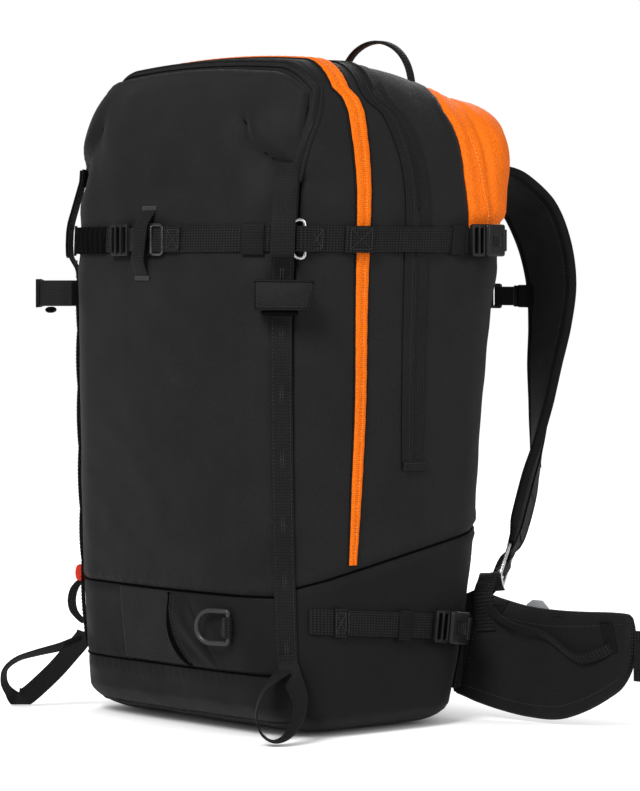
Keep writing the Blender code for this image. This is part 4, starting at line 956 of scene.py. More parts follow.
def beltPlace(side, start, end, zAt, width, skew=0.0):
    def place(s, t):
        turn = start + (end - start) * s + skew * (t - 0.5)
        z = zAt(s)
        if callable(z):
            level = np.full(np.shape(turn), strapLines["lowerZ"])
            for _ in range(3):
                level = z(roundBag(turn, level)[..., 1])
            z = level
        return flipped(roundBag(turn, z + (t - 0.5) * width), side)
    return place


def belt(side, start, end, zAt, width, lift, thickness, count, across=4, rounding=0.0004, skew=0.0):
    return laidSheet(beltPlace(side, start, end, zAt, width, skew), count, across, lift, thickness, rounding)


def overTop(line, endZ, widthAt):
    # a strip that climbs the left side, crosses the crown and comes down the right side
    endW = levelOf(endZ)
    rise = 1 - endW
    total = 2 * rise + 2

    def place(s, t):
        run = s * total
        u = np.clip(run - rise - 1, -1, 1)
        w = np.where(run < rise, endW + run, np.where(run < rise + 2, 1.0, 1 - (run - rise - 2)))
        across = (t - 0.5) * widthAt(w) / form["halfDepth"]
        return bagAt(u, zipV(line, (w + 1) / 2 * form["height"]) + across, w)
    return place


def stitchesAlong(side, spots, lift=0.0, **look):
    # stitches through (turn, z) spots, with the straight runs between them
    turns, levels = [], []
    for (a, b), (c, d) in zip(spots, spots[1:]):
        turns += list(np.linspace(a, c, 8))
        levels += list(np.linspace(b, d, 8))
    route, outs = onBag(turns, levels, lift)
    return stitchLine(*mirrored(side, route, outs), **look)


def webbed(piece, name, finish="webbing", nodes=(), body="bag"):
    return done(piece, name, finish, body, nodes, 50)


# zips
zips = {"lift": 0.0004, "tape": 0.0009, "mainWidth": 0.027, "coil": 0.006, "coilHigh": 0.0016,
        "frontWidth": 0.015, "frontLift": 0.0003, "sliderZ": 0.262}


def burstWidth(w):
    z = (w + 1) / 2 * form["height"]
    return np.interp(z, (0.15, 0.22, 0.36, 0.48, 0.55, 0.61), (0.008, 0.0113, 0.012, 0.0142, 0.0158, 0.016))


def makeBurstZip():
    place = overTop("burst", zipLines["burstEnd"], burstWidth)

    def lift(s, t):
        return zips["lift"] + 0.0012 * np.sqrt(np.clip(1 - (2 * t - 1) ** 2, 0, 1)) + 0.00022 * np.sin(s * 460)

    for name, low, high in (("burstZipFront", 0.0, 0.575), ("burstZipRear", 0.585, 1.0)):
        def half(s, t, low=low, high=high):
            return place(s, low + (high - low) * t)
        piece = laidSheet(half, 220, 7, lift, zips["tape"])
        nodes = ("airbag_burst_zip",) if low == 0 else ()
        done(piece, name, "orangeTape", "bag", nodes, 70)
    s = np.linspace(0.003, 0.997, 700)
    for k, t in enumerate((0.49, 0.66)):
        route, outs = laidOn(place, s, t, 0.0019)
        piece = stitchLine(route, outs, 0.003, 0.0022, 0.0003)
        done(piece, "burstZipStitch" + str(k + 1), "orangeThread", "bag")
    for k, t in enumerate((-0.1, 1.1)):   # folded fabric edges on both sides
        route, outs = laidOn(place, np.linspace(0, 1, 240), t, 0.0002)
        piece = tubeAlong(route, 0.0011, 6)
        done(piece, "burstZipEdge" + str(k + 1), "binding", "bag")


def coilZip(name, line, endZ, width, lift, nodes):
    place = overTop(line, endZ, lambda w: width)
    share = zips["coil"] / width / 2

    def raised(s, t):
        return lift + zips["coilHigh"] * 0.45 * unitStep(1.2 * share - np.abs(t - 0.5), -0.02, 0.03)
    tape = laidSheet(place, 190, 13, raised, zips["tape"])
    done(tape, name + "Tape", "zipTape", "bag", nodes, 60)
    s = np.linspace(0, 1, 340)
    for k, shift in enumerate((-0.3, 0.3)):   # the two rows of coil that mesh
        route, outs = laidOn(place, s, 0.5 + shift * share, lift + zips["tape"] + 0.0006)
        done(tubeAlong(route, 0.00105, 7), name + "Coil" + str(k + 1), "zipCoil", "bag")
    s = np.linspace(0.002, 0.998, 900)
    for k, shift in enumerate((-1.55, -0.72, 0.72, 1.55)):
        route, outs = laidOn(place, s, 0.5 + shift * share, lift + zips["tape"] + 0.0002)
        done(stitchLine(route, outs, 0.0026, 0.0018, 0.00026), name + "Stitch" + str(k + 1), "thread",
             "bag")


def makeZips():
    makeBurstZip()
    coilZip("mainZip", "main", zipLines["mainEnd"], zips["mainWidth"], zips["lift"], ("main_zip",))
    coilZip("lidZip", "front", zipLines["frontEnd"], zips["frontWidth"], zips["frontLift"], ())
    for mirror, word in ((1, "Right"), (-1, "Left")):   # a folded stop over each end of the long zip
        turn = turnAt(0.006, zipLines["mainEnd"])
        stop = belt(mirror, turn - 0.055, turn + 0.055, lambda s: zipLines["mainEnd"] - 0.001, 0.0085,
                    0.002, 0.0008, 9)
        webbed(stop, "mainZipStop" + word, "zipTape")
        webbed(stitchesAlong(mirror, [(turn - 0.05, zipLines["mainEnd"] + 0.0015),
                                      (turn + 0.05, zipLines["mainEnd"] + 0.0015)], 0.003),
               "mainZipStopStitch" + word, "thread")


def makeSlider():
    # the slider of the long zip, its ring and its pull
    low, out = bagOut(np.array([[-1.0, float(zipV("main", zips["sliderZ"])), levelOf(zips["sliderZ"])]]))
    at = axesAt(low[0] + out[0] * 0.0024, (0, 0, 1), (-1, 0, 0))
    body = joined([block((-0.0065, -0.0045, 0), (0.0065, 0.0045, 0.0022), at, 0.001),
                   block((-0.005, -0.0014, 0.0018), (0.004, 0.0014, 0.0046), at, 0.0008)])
    done(body, "zipSlider", "darkMetal", "zip_slider", ("main_zip_slider",))
    loop = [tuple(at @ Vector((-0.004 - 0.008 * (1 - math.cos(a)), 0.0034 * math.sin(a),
                               0.004 - 0.0012 * (1 - math.cos(a))))) for a in np.linspace(0, 2 * math.pi, 25)[:-1]]
    done(tubeAlong(loop, 0.0007, 8, True), "zipSliderRing", "darkMetal", "zip_slider")
    route = [tuple(at @ Vector((x, 0, h))) for x, h in ((-0.018, 0.0012), (-0.026, 0.0014), (-0.036, 0.0012),
        (-0.046, 0.001))]
    done(tubeAlong(smoothRoute(route, 4), 0.0016, 10), "zipSliderPull", "webbing", "zip_slider")


# daisy tape on the corners
daisy = {"width": 0.0185, "web": 0.0014, "lift": 0.0008, "topZ": 0.5, "footZ": 0.066, "bow": 0.0098,
         "bowShape": ((0.402, 0), (0.41, 0.3), (0.42, 0.93), (0.43, 1), (0.442, 1), (0.45, 0.9), (0.489, 0)),
         "tacks": (0.408, 0.352, 0.3, 0.244, 0.187, 0.139, 0.079), "loopBow": 0.0026}


def daisyLift(z):
    reach = np.interp(z, *np.array(daisy["bowShape"]).T)
    marks = (0.46,) + daisy["tacks"]
    swell = np.zeros(np.shape(z))
    for high, low in zip(marks, marks[1:]):
        middle, half = (high + low) / 2, (high - low) / 2
        swell = swell + np.where(np.abs(z - middle) < half,
                                 np.maximum(np.cos((z - middle) / half * math.pi / 2), 0) ** 0.7, 0)
    return daisy["lift"] + daisy["bow"] * reach + daisy["loopBow"] * 0.5 * swell * (1 - reach)


def daisyPlace(side, top, foot, width, shift=0.0):
    def place(s, t):
        z = top + (foot - top) * s
        middle = roundBag(0.5, z)
        beside = unit(roundBag(0.52, z) - roundBag(0.48, z))
        return flipped(middle + beside * ((t - 0.5) * width + shift)[..., None], side)
    return place


def makeDaisyTapes():
    # the corner tapes, tacked down in steps so that they stand off in small loops
    for side, word in sides:
        place = daisyPlace(side, daisy["topZ"], daisy["footZ"], daisy["width"])
        span = daisy["topZ"] - daisy["footZ"]
        tape = laidSheet(place, 150, 5, lambda s, t: daisyLift(daisy["topZ"] - span * s)
                         - 0.0004 * np.abs(2 * t - 1) ** 4, daisy["web"], 0.0004)
        webbed(tape, "daisyTape" + word.title(), "tape", ("corner_tape_" + word,))
        cover = laidSheet(daisyPlace(side, daisy["topZ"] - 0.001, 0.4185, daisy["width"] + 0.0025), 34, 5,
                          lambda s, t: daisyLift(daisy["topZ"] - (daisy["topZ"] - 0.4185) * s) + daisy["web"]
                          + 0.0003, 0.0013, 0.0004)
        webbed(cover, "daisyCover" + word.title(), "tape")
        marks = []
        for z in daisy["tacks"]:
            lift = float(daisyLift(np.array(z))) + daisy["web"]
            route, outs = laidOn(place, (daisy["topZ"] - z) / span, np.linspace(0.4, 0.6, 9), lift)
            zig = route + np.array([0, 0, 1]) * (np.arange(9) % 2 * 2 - 1)[:, None] * 0.0009
            marks.append(stitchLine(zig, outs, 0.0016, 0.0022, 0.00036))
            for shift in (-0.0011, 0.0011):   # the upright buttonhole stitches at each slot
                run = daisyPlace(side, z + 0.0085, z - 0.0085, 0.001, shift)
                route, outs = laidOn(run, np.linspace(0, 1, 12), 0.5, lift)
                marks.append(stitchLine(route, outs, 0.0013, 0.0016, 0.0005))
        webbed(joined(marks), "daisyTacks" + word.title(), "thread")
        edges = []
        for t in (0.1, 0.9):
            s = np.linspace(0.02, 0.98, 300)
            route, outs = laidOn(place, s, t, daisyLift(daisy["topZ"] - span * s) + daisy["web"] - 0.0001)
            edges.append(stitchLine(route, outs, 0.0034, 0.0022, 0.00024))
        webbed(joined(edges), "daisyEdges" + word.title(), "thread")


# straps round the bag
strapLook = {"web": 0.0018, "overHook": 0.004, "hookWide": 0.0105, "hookHigh": 0.033, "hookWire": 0.00155,
             "hookY": -0.1215, "rearTurn": 1.475}


def overZips(z):
    # how far webbing on the side stands off to pass over the zips
    lines = [(bagAt(1, zipV(name, z), levelOf(z))[1], half) for name, half in (("burst", 0.0085), ("main", 0.0135))]

    def rise(y):
        return np.max([0.0026 * np.clip((0.014 - (np.abs(y - place) - half)) / 0.007, 0, 1)
                       for place, half in lines], 0)
    return rise


def upperBelt(side, startTurn, endTurn, width=None, extra=0.0, thickness=None, count=None, over=True):
    z = strapLines["upperZ"]
    rise = overZips(z)

    def lift(s, t):
        if not over:
            return strapLines["lift"] + extra
        turn = startTurn + (endTurn - startTurn) * s
        y = roundBag(turn, np.full(np.shape(s), z))[..., 1]
        hook = unitStep(0.052 - np.abs(turn - turnAt(strapLook["hookY"], z) - 0.02), 0.0, 0.03)
        return strapLines["lift"] + extra + np.maximum(rise(y), strapLook["overHook"] * hook)
    count = count or max(int(abs(endTurn - startTurn) * 90), 5)
    return belt(side, startTurn, endTurn, lambda s: z, width or strapLines["width"], lift,
                thickness or strapLook["web"], count)


def crossBox(side, a, b, low, high, lift):
    # the box and cross that a strap's end is sewn down with
    return stitchesAlong(side, [(a, low), (b, low), (b, high), (a, high), (a, low), (b, high), (b, low), (a, high)],
                         lift, pitch=0.0026)


def cornerHook(side, turn):
    z = strapLines["upperZ"]
    here, out = onBag(turn, z, 0.001)
    ahead = roundBag(turn + 0.02, z) - roundBag(turn - 0.02, z)
    at = axesAt(*mirrored(side, here, ahead, out))
    half, wide = strapLook["hookHigh"] / 2, strapLook["hookWide"] / 2
    route = [(-wide, half * 0.5), (-wide * 0.9, half * 0.8), (-wide * 0.35, half * 0.97), (wide * 0.35, half),
             (wide * 0.85, half * 0.9), (wide, half * 0.66),
             (wide, 0), (wide, -half * 0.66), (wide * 0.85, -half * 0.9), (wide * 0.35, -half),
             (-wide * 0.35, -half * 0.97), (-wide * 0.9, -half * 0.8), (-wide, -half * 0.5)]
    route = smoothRoute([tuple(at @ Vector((x, y, 0.0012))) for x, y in route], 4)
    return tubeAlong(route, strapLook["hookWire"], 12, squash=0.8, up=tuple(at.to_3x3() @ Vector((0, 0, 1))))


def makeUpperStraps():
    # the compression strap across the front and the two along the sides
    z = strapLines["upperZ"]
    web = strapLines["width"]
    hookStart = turnAt(strapLook["hookY"], z)
    ringEdge = turnAtX(frontHardware["ringX"] + frontHardware["ringHalf"] + frontHardware["clear"], z)
    hookEdge = turnAtX(frontHardware["hookX"] - frontHardware["hookHalf"] - frontHardware["clear"], z)
    webbed(upperBelt(1, ringEdge, hookStart + 0.004), "frontStrapRight", nodes=("front_strap_right",))
    start, end = turnAtX(-0.146, z), turnAtX(-0.068, z)
    gathers = laidSheet(beltPlace(1, start, end, lambda s: z, 0.0235), 150, 9,
                        lambda s, t: 0.0026 + 0.0011 * np.sin(s * 120 + 0.35 * np.sin(7 * t))
                        - 0.0012 * np.abs(2 * t - 1) ** 3, 0.0014, 0.0004)
    webbed(gathers, "frontStrapGathered", "gathers")
    webbed(upperBelt(1, turnAtX(-0.148, z), turnAtX(-0.138, z), 0.0275, 0.0044, 0.0014, 6, False),
           "frontGatherBand", "elastic")
    webbed(upperBelt(-1, -hookEdge, hookStart + 0.004, extra=0.0001), "frontStrapLeft", nodes=("front_strap_left",))
    tail = upperBelt(1, turnAtX(frontHardware["ringX"], z), turnAtX(0.041, z), extra=strapLook["web"] + 0.0002,
                     over=False)
    webbed(tail, "frontStrapTail")
    a, b = turnAtX(0.025, z), turnAtX(0.04, z)
    marks = [crossBox(1, a, b, z - 0.0085, z + 0.0085, 0.0006 + 2 * strapLook["web"] + 0.0002)]
    for x in (-0.081, -0.075, -0.069, -0.062):
        marks.append(stitchesAlong(1, [(turnAtX(x, z), z - 0.01), (turnAtX(x, z), z + 0.01)], 0.0024))
    webbed(joined(marks), "frontStrapStitch", "thread")
    webbed(upperBelt(1, turnAtX(0.114, z), turnAtX(0.1315, z), web + 0.005, strapLook["web"] + 0.0002, 0.0014, 7,
                     False), "frontKeeper", "elastic")
    for side, word in sides:
        title = word.title()
        webbed(upperBelt(side, hookStart + 0.003, strapLook["rearTurn"]), "sideStrap" + title,
               nodes=("side_strap_" + word,))
        done(cornerHook(side, hookStart + 0.02), "cornerHook" + title, "metal", "bag",
             ("corner_hook_" + word,))
        loopEnd = turnAt(-0.098, z)
        webbed(upperBelt(side, hookStart + 0.003, loopEnd, extra=strapLook["web"] + 0.0003),
               "sideStrapTurn" + title)
        a, b = turnAt(-0.076, z), turnAt(-0.045, z)
        webbed(upperBelt(side, a, b, web + 0.0015, strapLook["web"] + 0.0002, 0.0016), "sideStrapPatch" + title)
        rise = float(overZips(z)(-0.06)) + 0.0006 + strapLook["web"] * 2 + 0.0004
        marks = [crossBox(side, turnAt(-0.073, z), turnAt(-0.049, z), z - 0.009, z + 0.009, rise)]
        marks.append(crossBox(side, hookStart + 0.06, loopEnd - 0.006, z - 0.0085, z + 0.0085,
                              0.0006 + strapLook["web"] * 2 + 0.0003))
        webbed(joined(marks), "sideStrapStitch" + title, "thread")
        webbed(upperBelt(side, turnAt(0.05, z), turnAt(0.066, z), web + 0.004, strapLook["web"] + 0.0002, 0.0014,
                         7), "sideKeeper" + title, "elastic")
        webbed(upperBelt(side, turnAt(0.066, z), turnAt(0.084, z), extra=strapLook["web"] + 0.0002, count=8),
               "sideStrapEnd" + title)


def makeLowerStraps():
    # the lower side straps, with what is sewn on them
    start, end = turnAt(strapLines["lowerY"] + 0.01, strapLines["lowerZ"]), 1.44

    def part(side, a, b, width, lift, thickness, finish, name, nodes=()):
        count = max(int(abs(b - a) * 80), 5)
        piece = belt(side, a, b, lambda s: lowerStrapZ, width, lift, thickness, count)
        return webbed(piece, name, finish, nodes)
    for side, word in sides:
        title = word.title()
        web = strapLines["width"]
        part(side, start, end, web, strapLines["lift"], strapLook["web"], "webbing", "lowerStrap" + title,
             ("lower_strap_" + word,))
        z = lowerStrapZ(-0.082)
        part(side, turnAt(-0.088, z), turnAt(-0.075, z), web + 0.003, 0.0024, 0.0016, "webbing",
             "lowerStrapPatch" + title)
        part(side, turnAt(-0.0745, z), turnAt(0.033, z), web - 0.0005, 0.0024, strapLook["web"], "webbing",
             "lowerStrapTop" + title)
        z = lowerStrapZ(-0.008)
        part(side, turnAt(-0.015, z), turnAt(0.0, z), web + 0.0045, 0.0042, 0.0014, "elastic",
             "lowerKeeper" + title)
        z = lowerStrapZ(-0.082)
        marks = [crossBox(side, turnAt(-0.087, z), turnAt(-0.076, z), z - 0.0085, z + 0.0085, 0.0041)]
        marks.append(stitchesAlong(side, [(turnAt(-0.0725, z), z - 0.009), (turnAt(-0.0725, z), z + 0.009)],
                                   0.0041))
        webbed(joined(marks), "lowerStrapStitch" + title, "thread")


# buckles
buckleLook = {"length": 0.024, "width": 0.029, "height": 0.0088, "wall": 0.0024, "clear": 0.0005, "frame": 0.017,
              "upperY": 0.086, "lowerY": 0.042}


def carve(piece, cutter):
    only(piece)
    hole = piece.modifiers.new("opening", "BOOLEAN")
    hole.operation = "DIFFERENCE"
    hole.solver = "EXACT"
    hole.object = cutter
    bpy.ops.object.modifier_apply(modifier=hole.name)
    bpy.data.objects.remove(cutter)
    return piece


def socketBody(at, length, width, height, wall):
    # a moulded socket with its room, the two side windows and a raised grip
    body = block((0.0004, -width / 2, 0), (length, width / 2, height), at, height * 0.26, 4)
    carve(body, block((-0.01, -width / 2 + wall, wall), (length - wall, width / 2 - wall, height - wall), at))
    for side in (1, -1):
        low, high = sorted((side * width * 0.34, side * width * 0.62))
        carve(body, block((length * 0.34, low, height * 0.2), (length * 0.76, high, height * 0.8), at,
                          height * 0.1))
    carve(body, block((length * 0.3, -width * 0.2, height - 0.0008), (length * 0.8, width * 0.2, height + 0.01), at,
                      0.0005))
    ridges = [block((length * share, -width * 0.16, height - 0.0012),
                    (length * share + 0.0012, width * 0.16, height - 0.0001), at, 0.0004)
              for share in (0.38, 0.5, 0.62)]
    lip = block((length * 0.86, -width * 0.34, height - 0.002), (length + 0.0012, width * 0.34, height + 0.0004),
                at, 0.0008)
    return joined([body, lip, *ridges])


def tongueBody(at, length, width, height, wall, frame, thick=0.0028, bars=True):
    # a ladder frame for the webbing, and a centre guide with two sprung prongs
    half, reach = width / 2, length - wall - buckleLook["clear"]
    prong = half - wall - buckleLook["clear"]
    middle = at @ Matrix.Translation((0, 0, height / 2))
    loops = [roundLoop(-frame, 0.0012, -half, half, 0.0026),
             roundLoop(-frame + 0.0028, -frame * 0.56, -half + 0.003, half - 0.003, 0.0008),
             roundLoop(-frame * 0.4, -0.0022, -half + 0.003, half - 0.003, 0.0008)]
    pieces = [plate(loops, thick * 1.25, middle, 0.0007)]
    pieces.append(plate([roundLoop(0.0002, reach * 0.94, -0.0016, 0.0016, 0.001)], thick * 0.8, middle, 0.0003))
    for side in (1, -1):
        line = [(0.0002, prong), (reach * 0.6, prong), (reach * 0.84, prong * 0.92), (reach, prong * 0.55),
                (reach * 0.92, prong * 0.42), (reach * 0.62, prong * 0.7), (0.0002, prong * 0.72)]
        pieces.append(plate([[(x, y * side) for x, y in line][::side]], thick, middle, 0.0003))
    if bars:   # the grip bars that bite on the webbing
        for x in (-frame * 0.48, -frame + 0.0014):
            pieces.append(block((x - 0.0012, -half + 0.001, height / 2 - thick * 0.8),
                                (x + 0.0012, half - 0.001, height / 2 + thick * 0.95), at, 0.0008))
    return joined(pieces)


def makeSocket(at, look, name, body, node):
    done(socketBody(at, look["length"], look["width"], look["height"], look["wall"]), name, "plastic", body,
         (node,), 35)


def makeTongue(at, look, name, body, node, thick=0.0028, bars=True):
    done(tongueBody(at, look["length"], look["width"], look["height"], look["wall"], look["frame"], thick, bars),
         name, "plastic", body, (node,), 35)


def buckleFrame(y, z, side, slope=0.0):
    turn = turnAt(y, z)
    ahead, behind = roundBag(turn + 0.03, z + slope * 0.01), roundBag(turn - 0.03, z - slope * 0.01)
    along = Vector(flipped(ahead, side)) - Vector(flipped(behind, side))
    out = along.cross(Vector((0, 0, 1))) * side
    return axesAt(Vector(flipped(roundBag(turn, z), side)) + out.normalized() * 0.003, along, out)


def makeSideBuckles():
    look = buckleLook
    for side, word in sides:
        for level, y, z, slope in (("upper", look["upperY"], strapLines["upperZ"], 0.0),
                                   ("lower", look["lowerY"], lowerStrapZ(look["lowerY"]),
                                    strapLines["lowerSlope"])):
            at = buckleFrame(y, z, side, slope)
            name = level + "Buckle" + word.title()
            makeSocket(at, look, name + "Socket", "bag", level + "_socket_" + word)
            makeTongue(at, look, name + "Tongue", level + "_tongue_" + word, level + "_tongue_" + word)


def frontFrame(x, depth):
    z = strapLines["upperZ"]
    here = onBag(turnAtX(x, z), z, depth)[0]
    along = roundBag(turnAtX(x + 0.01, z), z) - roundBag(turnAtX(x - 0.01, z), z)
    return axesAt(here, along, np.cross(along, (0, 0, 1)))


frontHardware = {"tall": 0.0145, "ringX": 0.0035, "ringHalf": 0.017, "ringDepth": 0.0042, "hookX": -0.04,
                 "hookHalf": 0.015, "hookDepth": 0.0048, "clear": 0.0006}


def makeFrontHardware():
    # the ladder ring and the hook buckle of the front strap
    tall = frontHardware["tall"]
    at = frontFrame(frontHardware["ringX"], frontHardware["ringDepth"])
    loops = [roundLoop(-0.017, 0.017, -tall, tall, 0.0045),
             roundLoop(-0.0142, -0.002, -tall + 0.003, tall - 0.003, 0.0022),
             roundLoop(0.0014, 0.0142, -tall + 0.003, tall - 0.003, 0.0022)]
    ring = joined([plate(loops, 0.003, at, 0.0011),
                   block((-0.0022, -tall + 0.002, -0.001), (0.0016, tall - 0.002, 0.002), at, 0.001)])
    done(ring, "frontRing", "darkMetal", "bag", ("front_ring",), 40)
    at = frontFrame(frontHardware["hookX"], frontHardware["hookDepth"])
    loops = [roundLoop(-0.015, 0.0135, -tall, tall, 0.003),
             roundLoop(-0.0125, -0.007, -tall + 0.0034, tall - 0.0034, 0.001),
             roundLoop(-0.0046, 0.0004, -tall + 0.0034, tall - 0.0034, 0.001),
             roundLoop(0.004, 0.01, -tall + 0.0034, tall - 0.0034, 0.001)]
    hook = [plate(loops, 0.0046, at, 0.001)]
    for x in (-0.0058, 0.0022, 0.0118):
        hook.append(block((x - 0.0012, -tall + 0.001, -0.001), (x + 0.0012, tall - 0.001, 0.0036), at, 0.0009))
    hook.append(block((0.011, -tall * 0.72, -0.0016), (0.02, tall * 0.72, 0.0018), at, 0.0014))
    done(joined(hook), "frontHookBuckle", "plastic", "bag", ("front_buckle",), 35)


frontLoop = {"route": ((-0.005, 0.462), (-0.0055, 0.452), (-0.0068, 0.44), (-0.0085, 0.424), (-0.01, 0.41),
                       (-0.0108, 0.4)),
             "half": 0.0088, "stand": 0.0078, "thick": 0.0013, "tabs": ((0.02, 0.0195), (0.985, 0.0205)),
             "tabHigh": 0.0042}


def makeFrontLoop():
    # the upright keeper of webbing in front of the ring
    route = smoothRoute([(x, 0, z) for x, z in frontLoop["route"]], 5)[:, [0, 2]]

    def place(s, t):
        x, z = (np.interp(s * (len(route) - 1), np.arange(len(route)), route[:, k]) for k in (0, 1))
        turn = np.interp(x, [-0.06, 0.06], [turnAtX(-0.06, 0.43), turnAtX(0.06, 0.43)])
        return roundBag(turn + frontLoop["half"] * (2 * t - 1) / (2 * form["halfWidth"]), z)

    def lift(s, t):
        return strapLines["lift"] + frontLoop["stand"] * unitStep(np.minimum(s, 1 - s), 0.0, 0.34)
    webbed(laidSheet(place, 34, 4, lift, frontLoop["thick"], 0.0003), "frontLoop", "tape")
    tabs = []
    for share, wide in frontLoop["tabs"]:
        x, z = route[int(round(share * (len(route) - 1)))]
        turn = turnAtX(x, z)
        half = wide / 2 / np.linalg.norm(roundBag(turn + 0.01, z) - roundBag(turn - 0.01, z)) * 0.02
        tabs.append(belt(1, turn - half, turn + half, lambda s: z, frontLoop["tabHigh"], 0.0018, 0.0009, 6))
        tabs.append(stitchesAlong(1, [(turn - half * 0.8, z), (turn + half * 0.8, z)], 0.0027, pitch=0.0018,
                                  length=0.0016))
    webbed(joined(tabs), "frontLoopTabs", "thread")


def makeLidPleatShades():
    # a near-black cord in the sewn crease at each shoulder of the lid: painted shade in the fold
    for mirror, word in sides:
        line = smoothRoute(np.array(lidFoldLine)[:4], 8)
        share = np.linspace(0, 0.8, len(line))
        turns = np.array([turnAtX(x, z) for x, _, z in line])
        strength = unitStep(share, 0.02, 0.35) * (0.75 if mirror < 0 else 1)
        route = onBag(turns, line[:, 2], 0.0012 - fabric["lidFold"] * strength)[0]
        webbed(tubeAlong(flipped(route, mirror), np.interp(share, (0, 0.2, 0.8), (0.0003, 0.0011, 0.0008)), 6),
               "lidPleatShade" + word.title(), "shadeCord")


def makeHoodStitches():
    # the row of stitches on the orange hood's split, on both sides
    for side, word in sides:
        z = np.linspace(seams["hoodZ"] + 0.006, 0.57, 60)
        v = hoodSplit(z) - 0.03
        cube = np.stack([np.ones(60), v, levelOf(z)], -1)
        spots, out = bagOut(cube)
        line = spots + out * (0.0016 + clothLift(cube, spots))[:, None]
        webbed(stitchLine(*mirrored(side, line, out), 0.0036, 0.0026, 0.00042), "hoodStitch" + word.title(),
               "orangeThread")


makeZips()
makeSlider()
makeHoodStitches()
makeLidPleatShades()
print("zips sewn in")
makeDaisyTapes()
makeUpperStraps()
makeLowerStraps()
makeSideBuckles()
makeFrontHardware()
makeFrontLoop()
print("straps and buckles on")


# axe holders, loops and rings
holder = {"z": 0.386, "high": 0.0235, "half": 0.0215, "depth": 0.014, "leftDepth": 0.032, "lift": 0.0046,
          "web": 0.0016, "round": 0.375, "rollDrop": 0.0036}
axeLoop = {"z": 0.066, "right": (0.656, 0.755, 0), "near": (0.755, -0.656, 0), "lowest": 0.0022, "web": 0.0014,
           "lift": 0.0036, "wide": 0.0175,
           "path": ((0.0, 0.0, 0.009), (0.001, 0.001, 0.0), (0.005, 0.007, -0.011), (0.0105, 0.015, -0.026),
                    (0.0095, 0.023, -0.043),
                    (0.001, 0.029, -0.0575), (-0.011, 0.031, -0.0625), (-0.0215, 0.029, -0.056),
                    (-0.026, 0.023, -0.041),
                    (-0.022, 0.016, -0.025), (-0.012, 0.008, -0.013), (-0.002, 0.002, -0.004)),
           "leftPath": ((0.001, 0.0, 0.006), (-0.002, 0.001, -0.001), (-0.013, -0.001, -0.014),
                        (-0.026, -0.008, -0.029), (-0.041, -0.017, -0.044),
                        (-0.0545, -0.024, -0.056), (-0.064, -0.028, -0.0605), (-0.0715, -0.027, -0.054),
                        (-0.0765, -0.024, -0.043), (-0.0745, -0.02, -0.031),
                        (-0.063, -0.016, -0.021), (-0.044, -0.011, -0.0145), (-0.024, -0.006, -0.009),
                        (-0.009, -0.002, -0.003), (-0.001, 0.0, 0.001))}
haulLoop = {"half": 0.05, "high": 0.053, "y": 0.107, "wide": 0.0095, "thick": 0.003, "foot": 0.0075}
ringLook = {"x": 0.0965, "z": 0.096, "half": 0.0142, "depth": 0.0325, "radius": 0.0021, "angle": 18, "wrap": 0.0032,
            "tab": 0.0185}


def bandThrough(centres, across, outs, width, thickness, edge=0.35, closed=False):
    # flat webbing with rounded edges through points; across and outs are unit ways
    centres, across, outs = (np.asarray(a, float) for a in (centres, across, outs))
    profile = [(-width / 2, 0), (-width / 2 + thickness * edge, thickness / 2), (0, thickness / 2),
               (width / 2 - thickness * edge, thickness / 2),
               (width / 2, 0), (width / 2 - thickness * edge, -thickness / 2), (0, -thickness / 2),
               (-width / 2 + thickness * edge, -thickness / 2)]
    return ringed([[c + a * x + o * h for x, h in profile] for c, a, o in zip(centres, across, outs)], closed)


def bandAcross(route, across, width, thickness, edge=0.35):
    return bandThrough(route, across, unit(np.cross(across, waysOf(route))), width, thickness, edge)


def cornerAxes(z, lift):
    middle = onBag(0.5, z, lift)[0]
    out = unit(np.array([math.sin(math.radians(45)), -math.cos(math.radians(45)), 0]))
    return middle, out, np.cross((0, 0, 1), out)


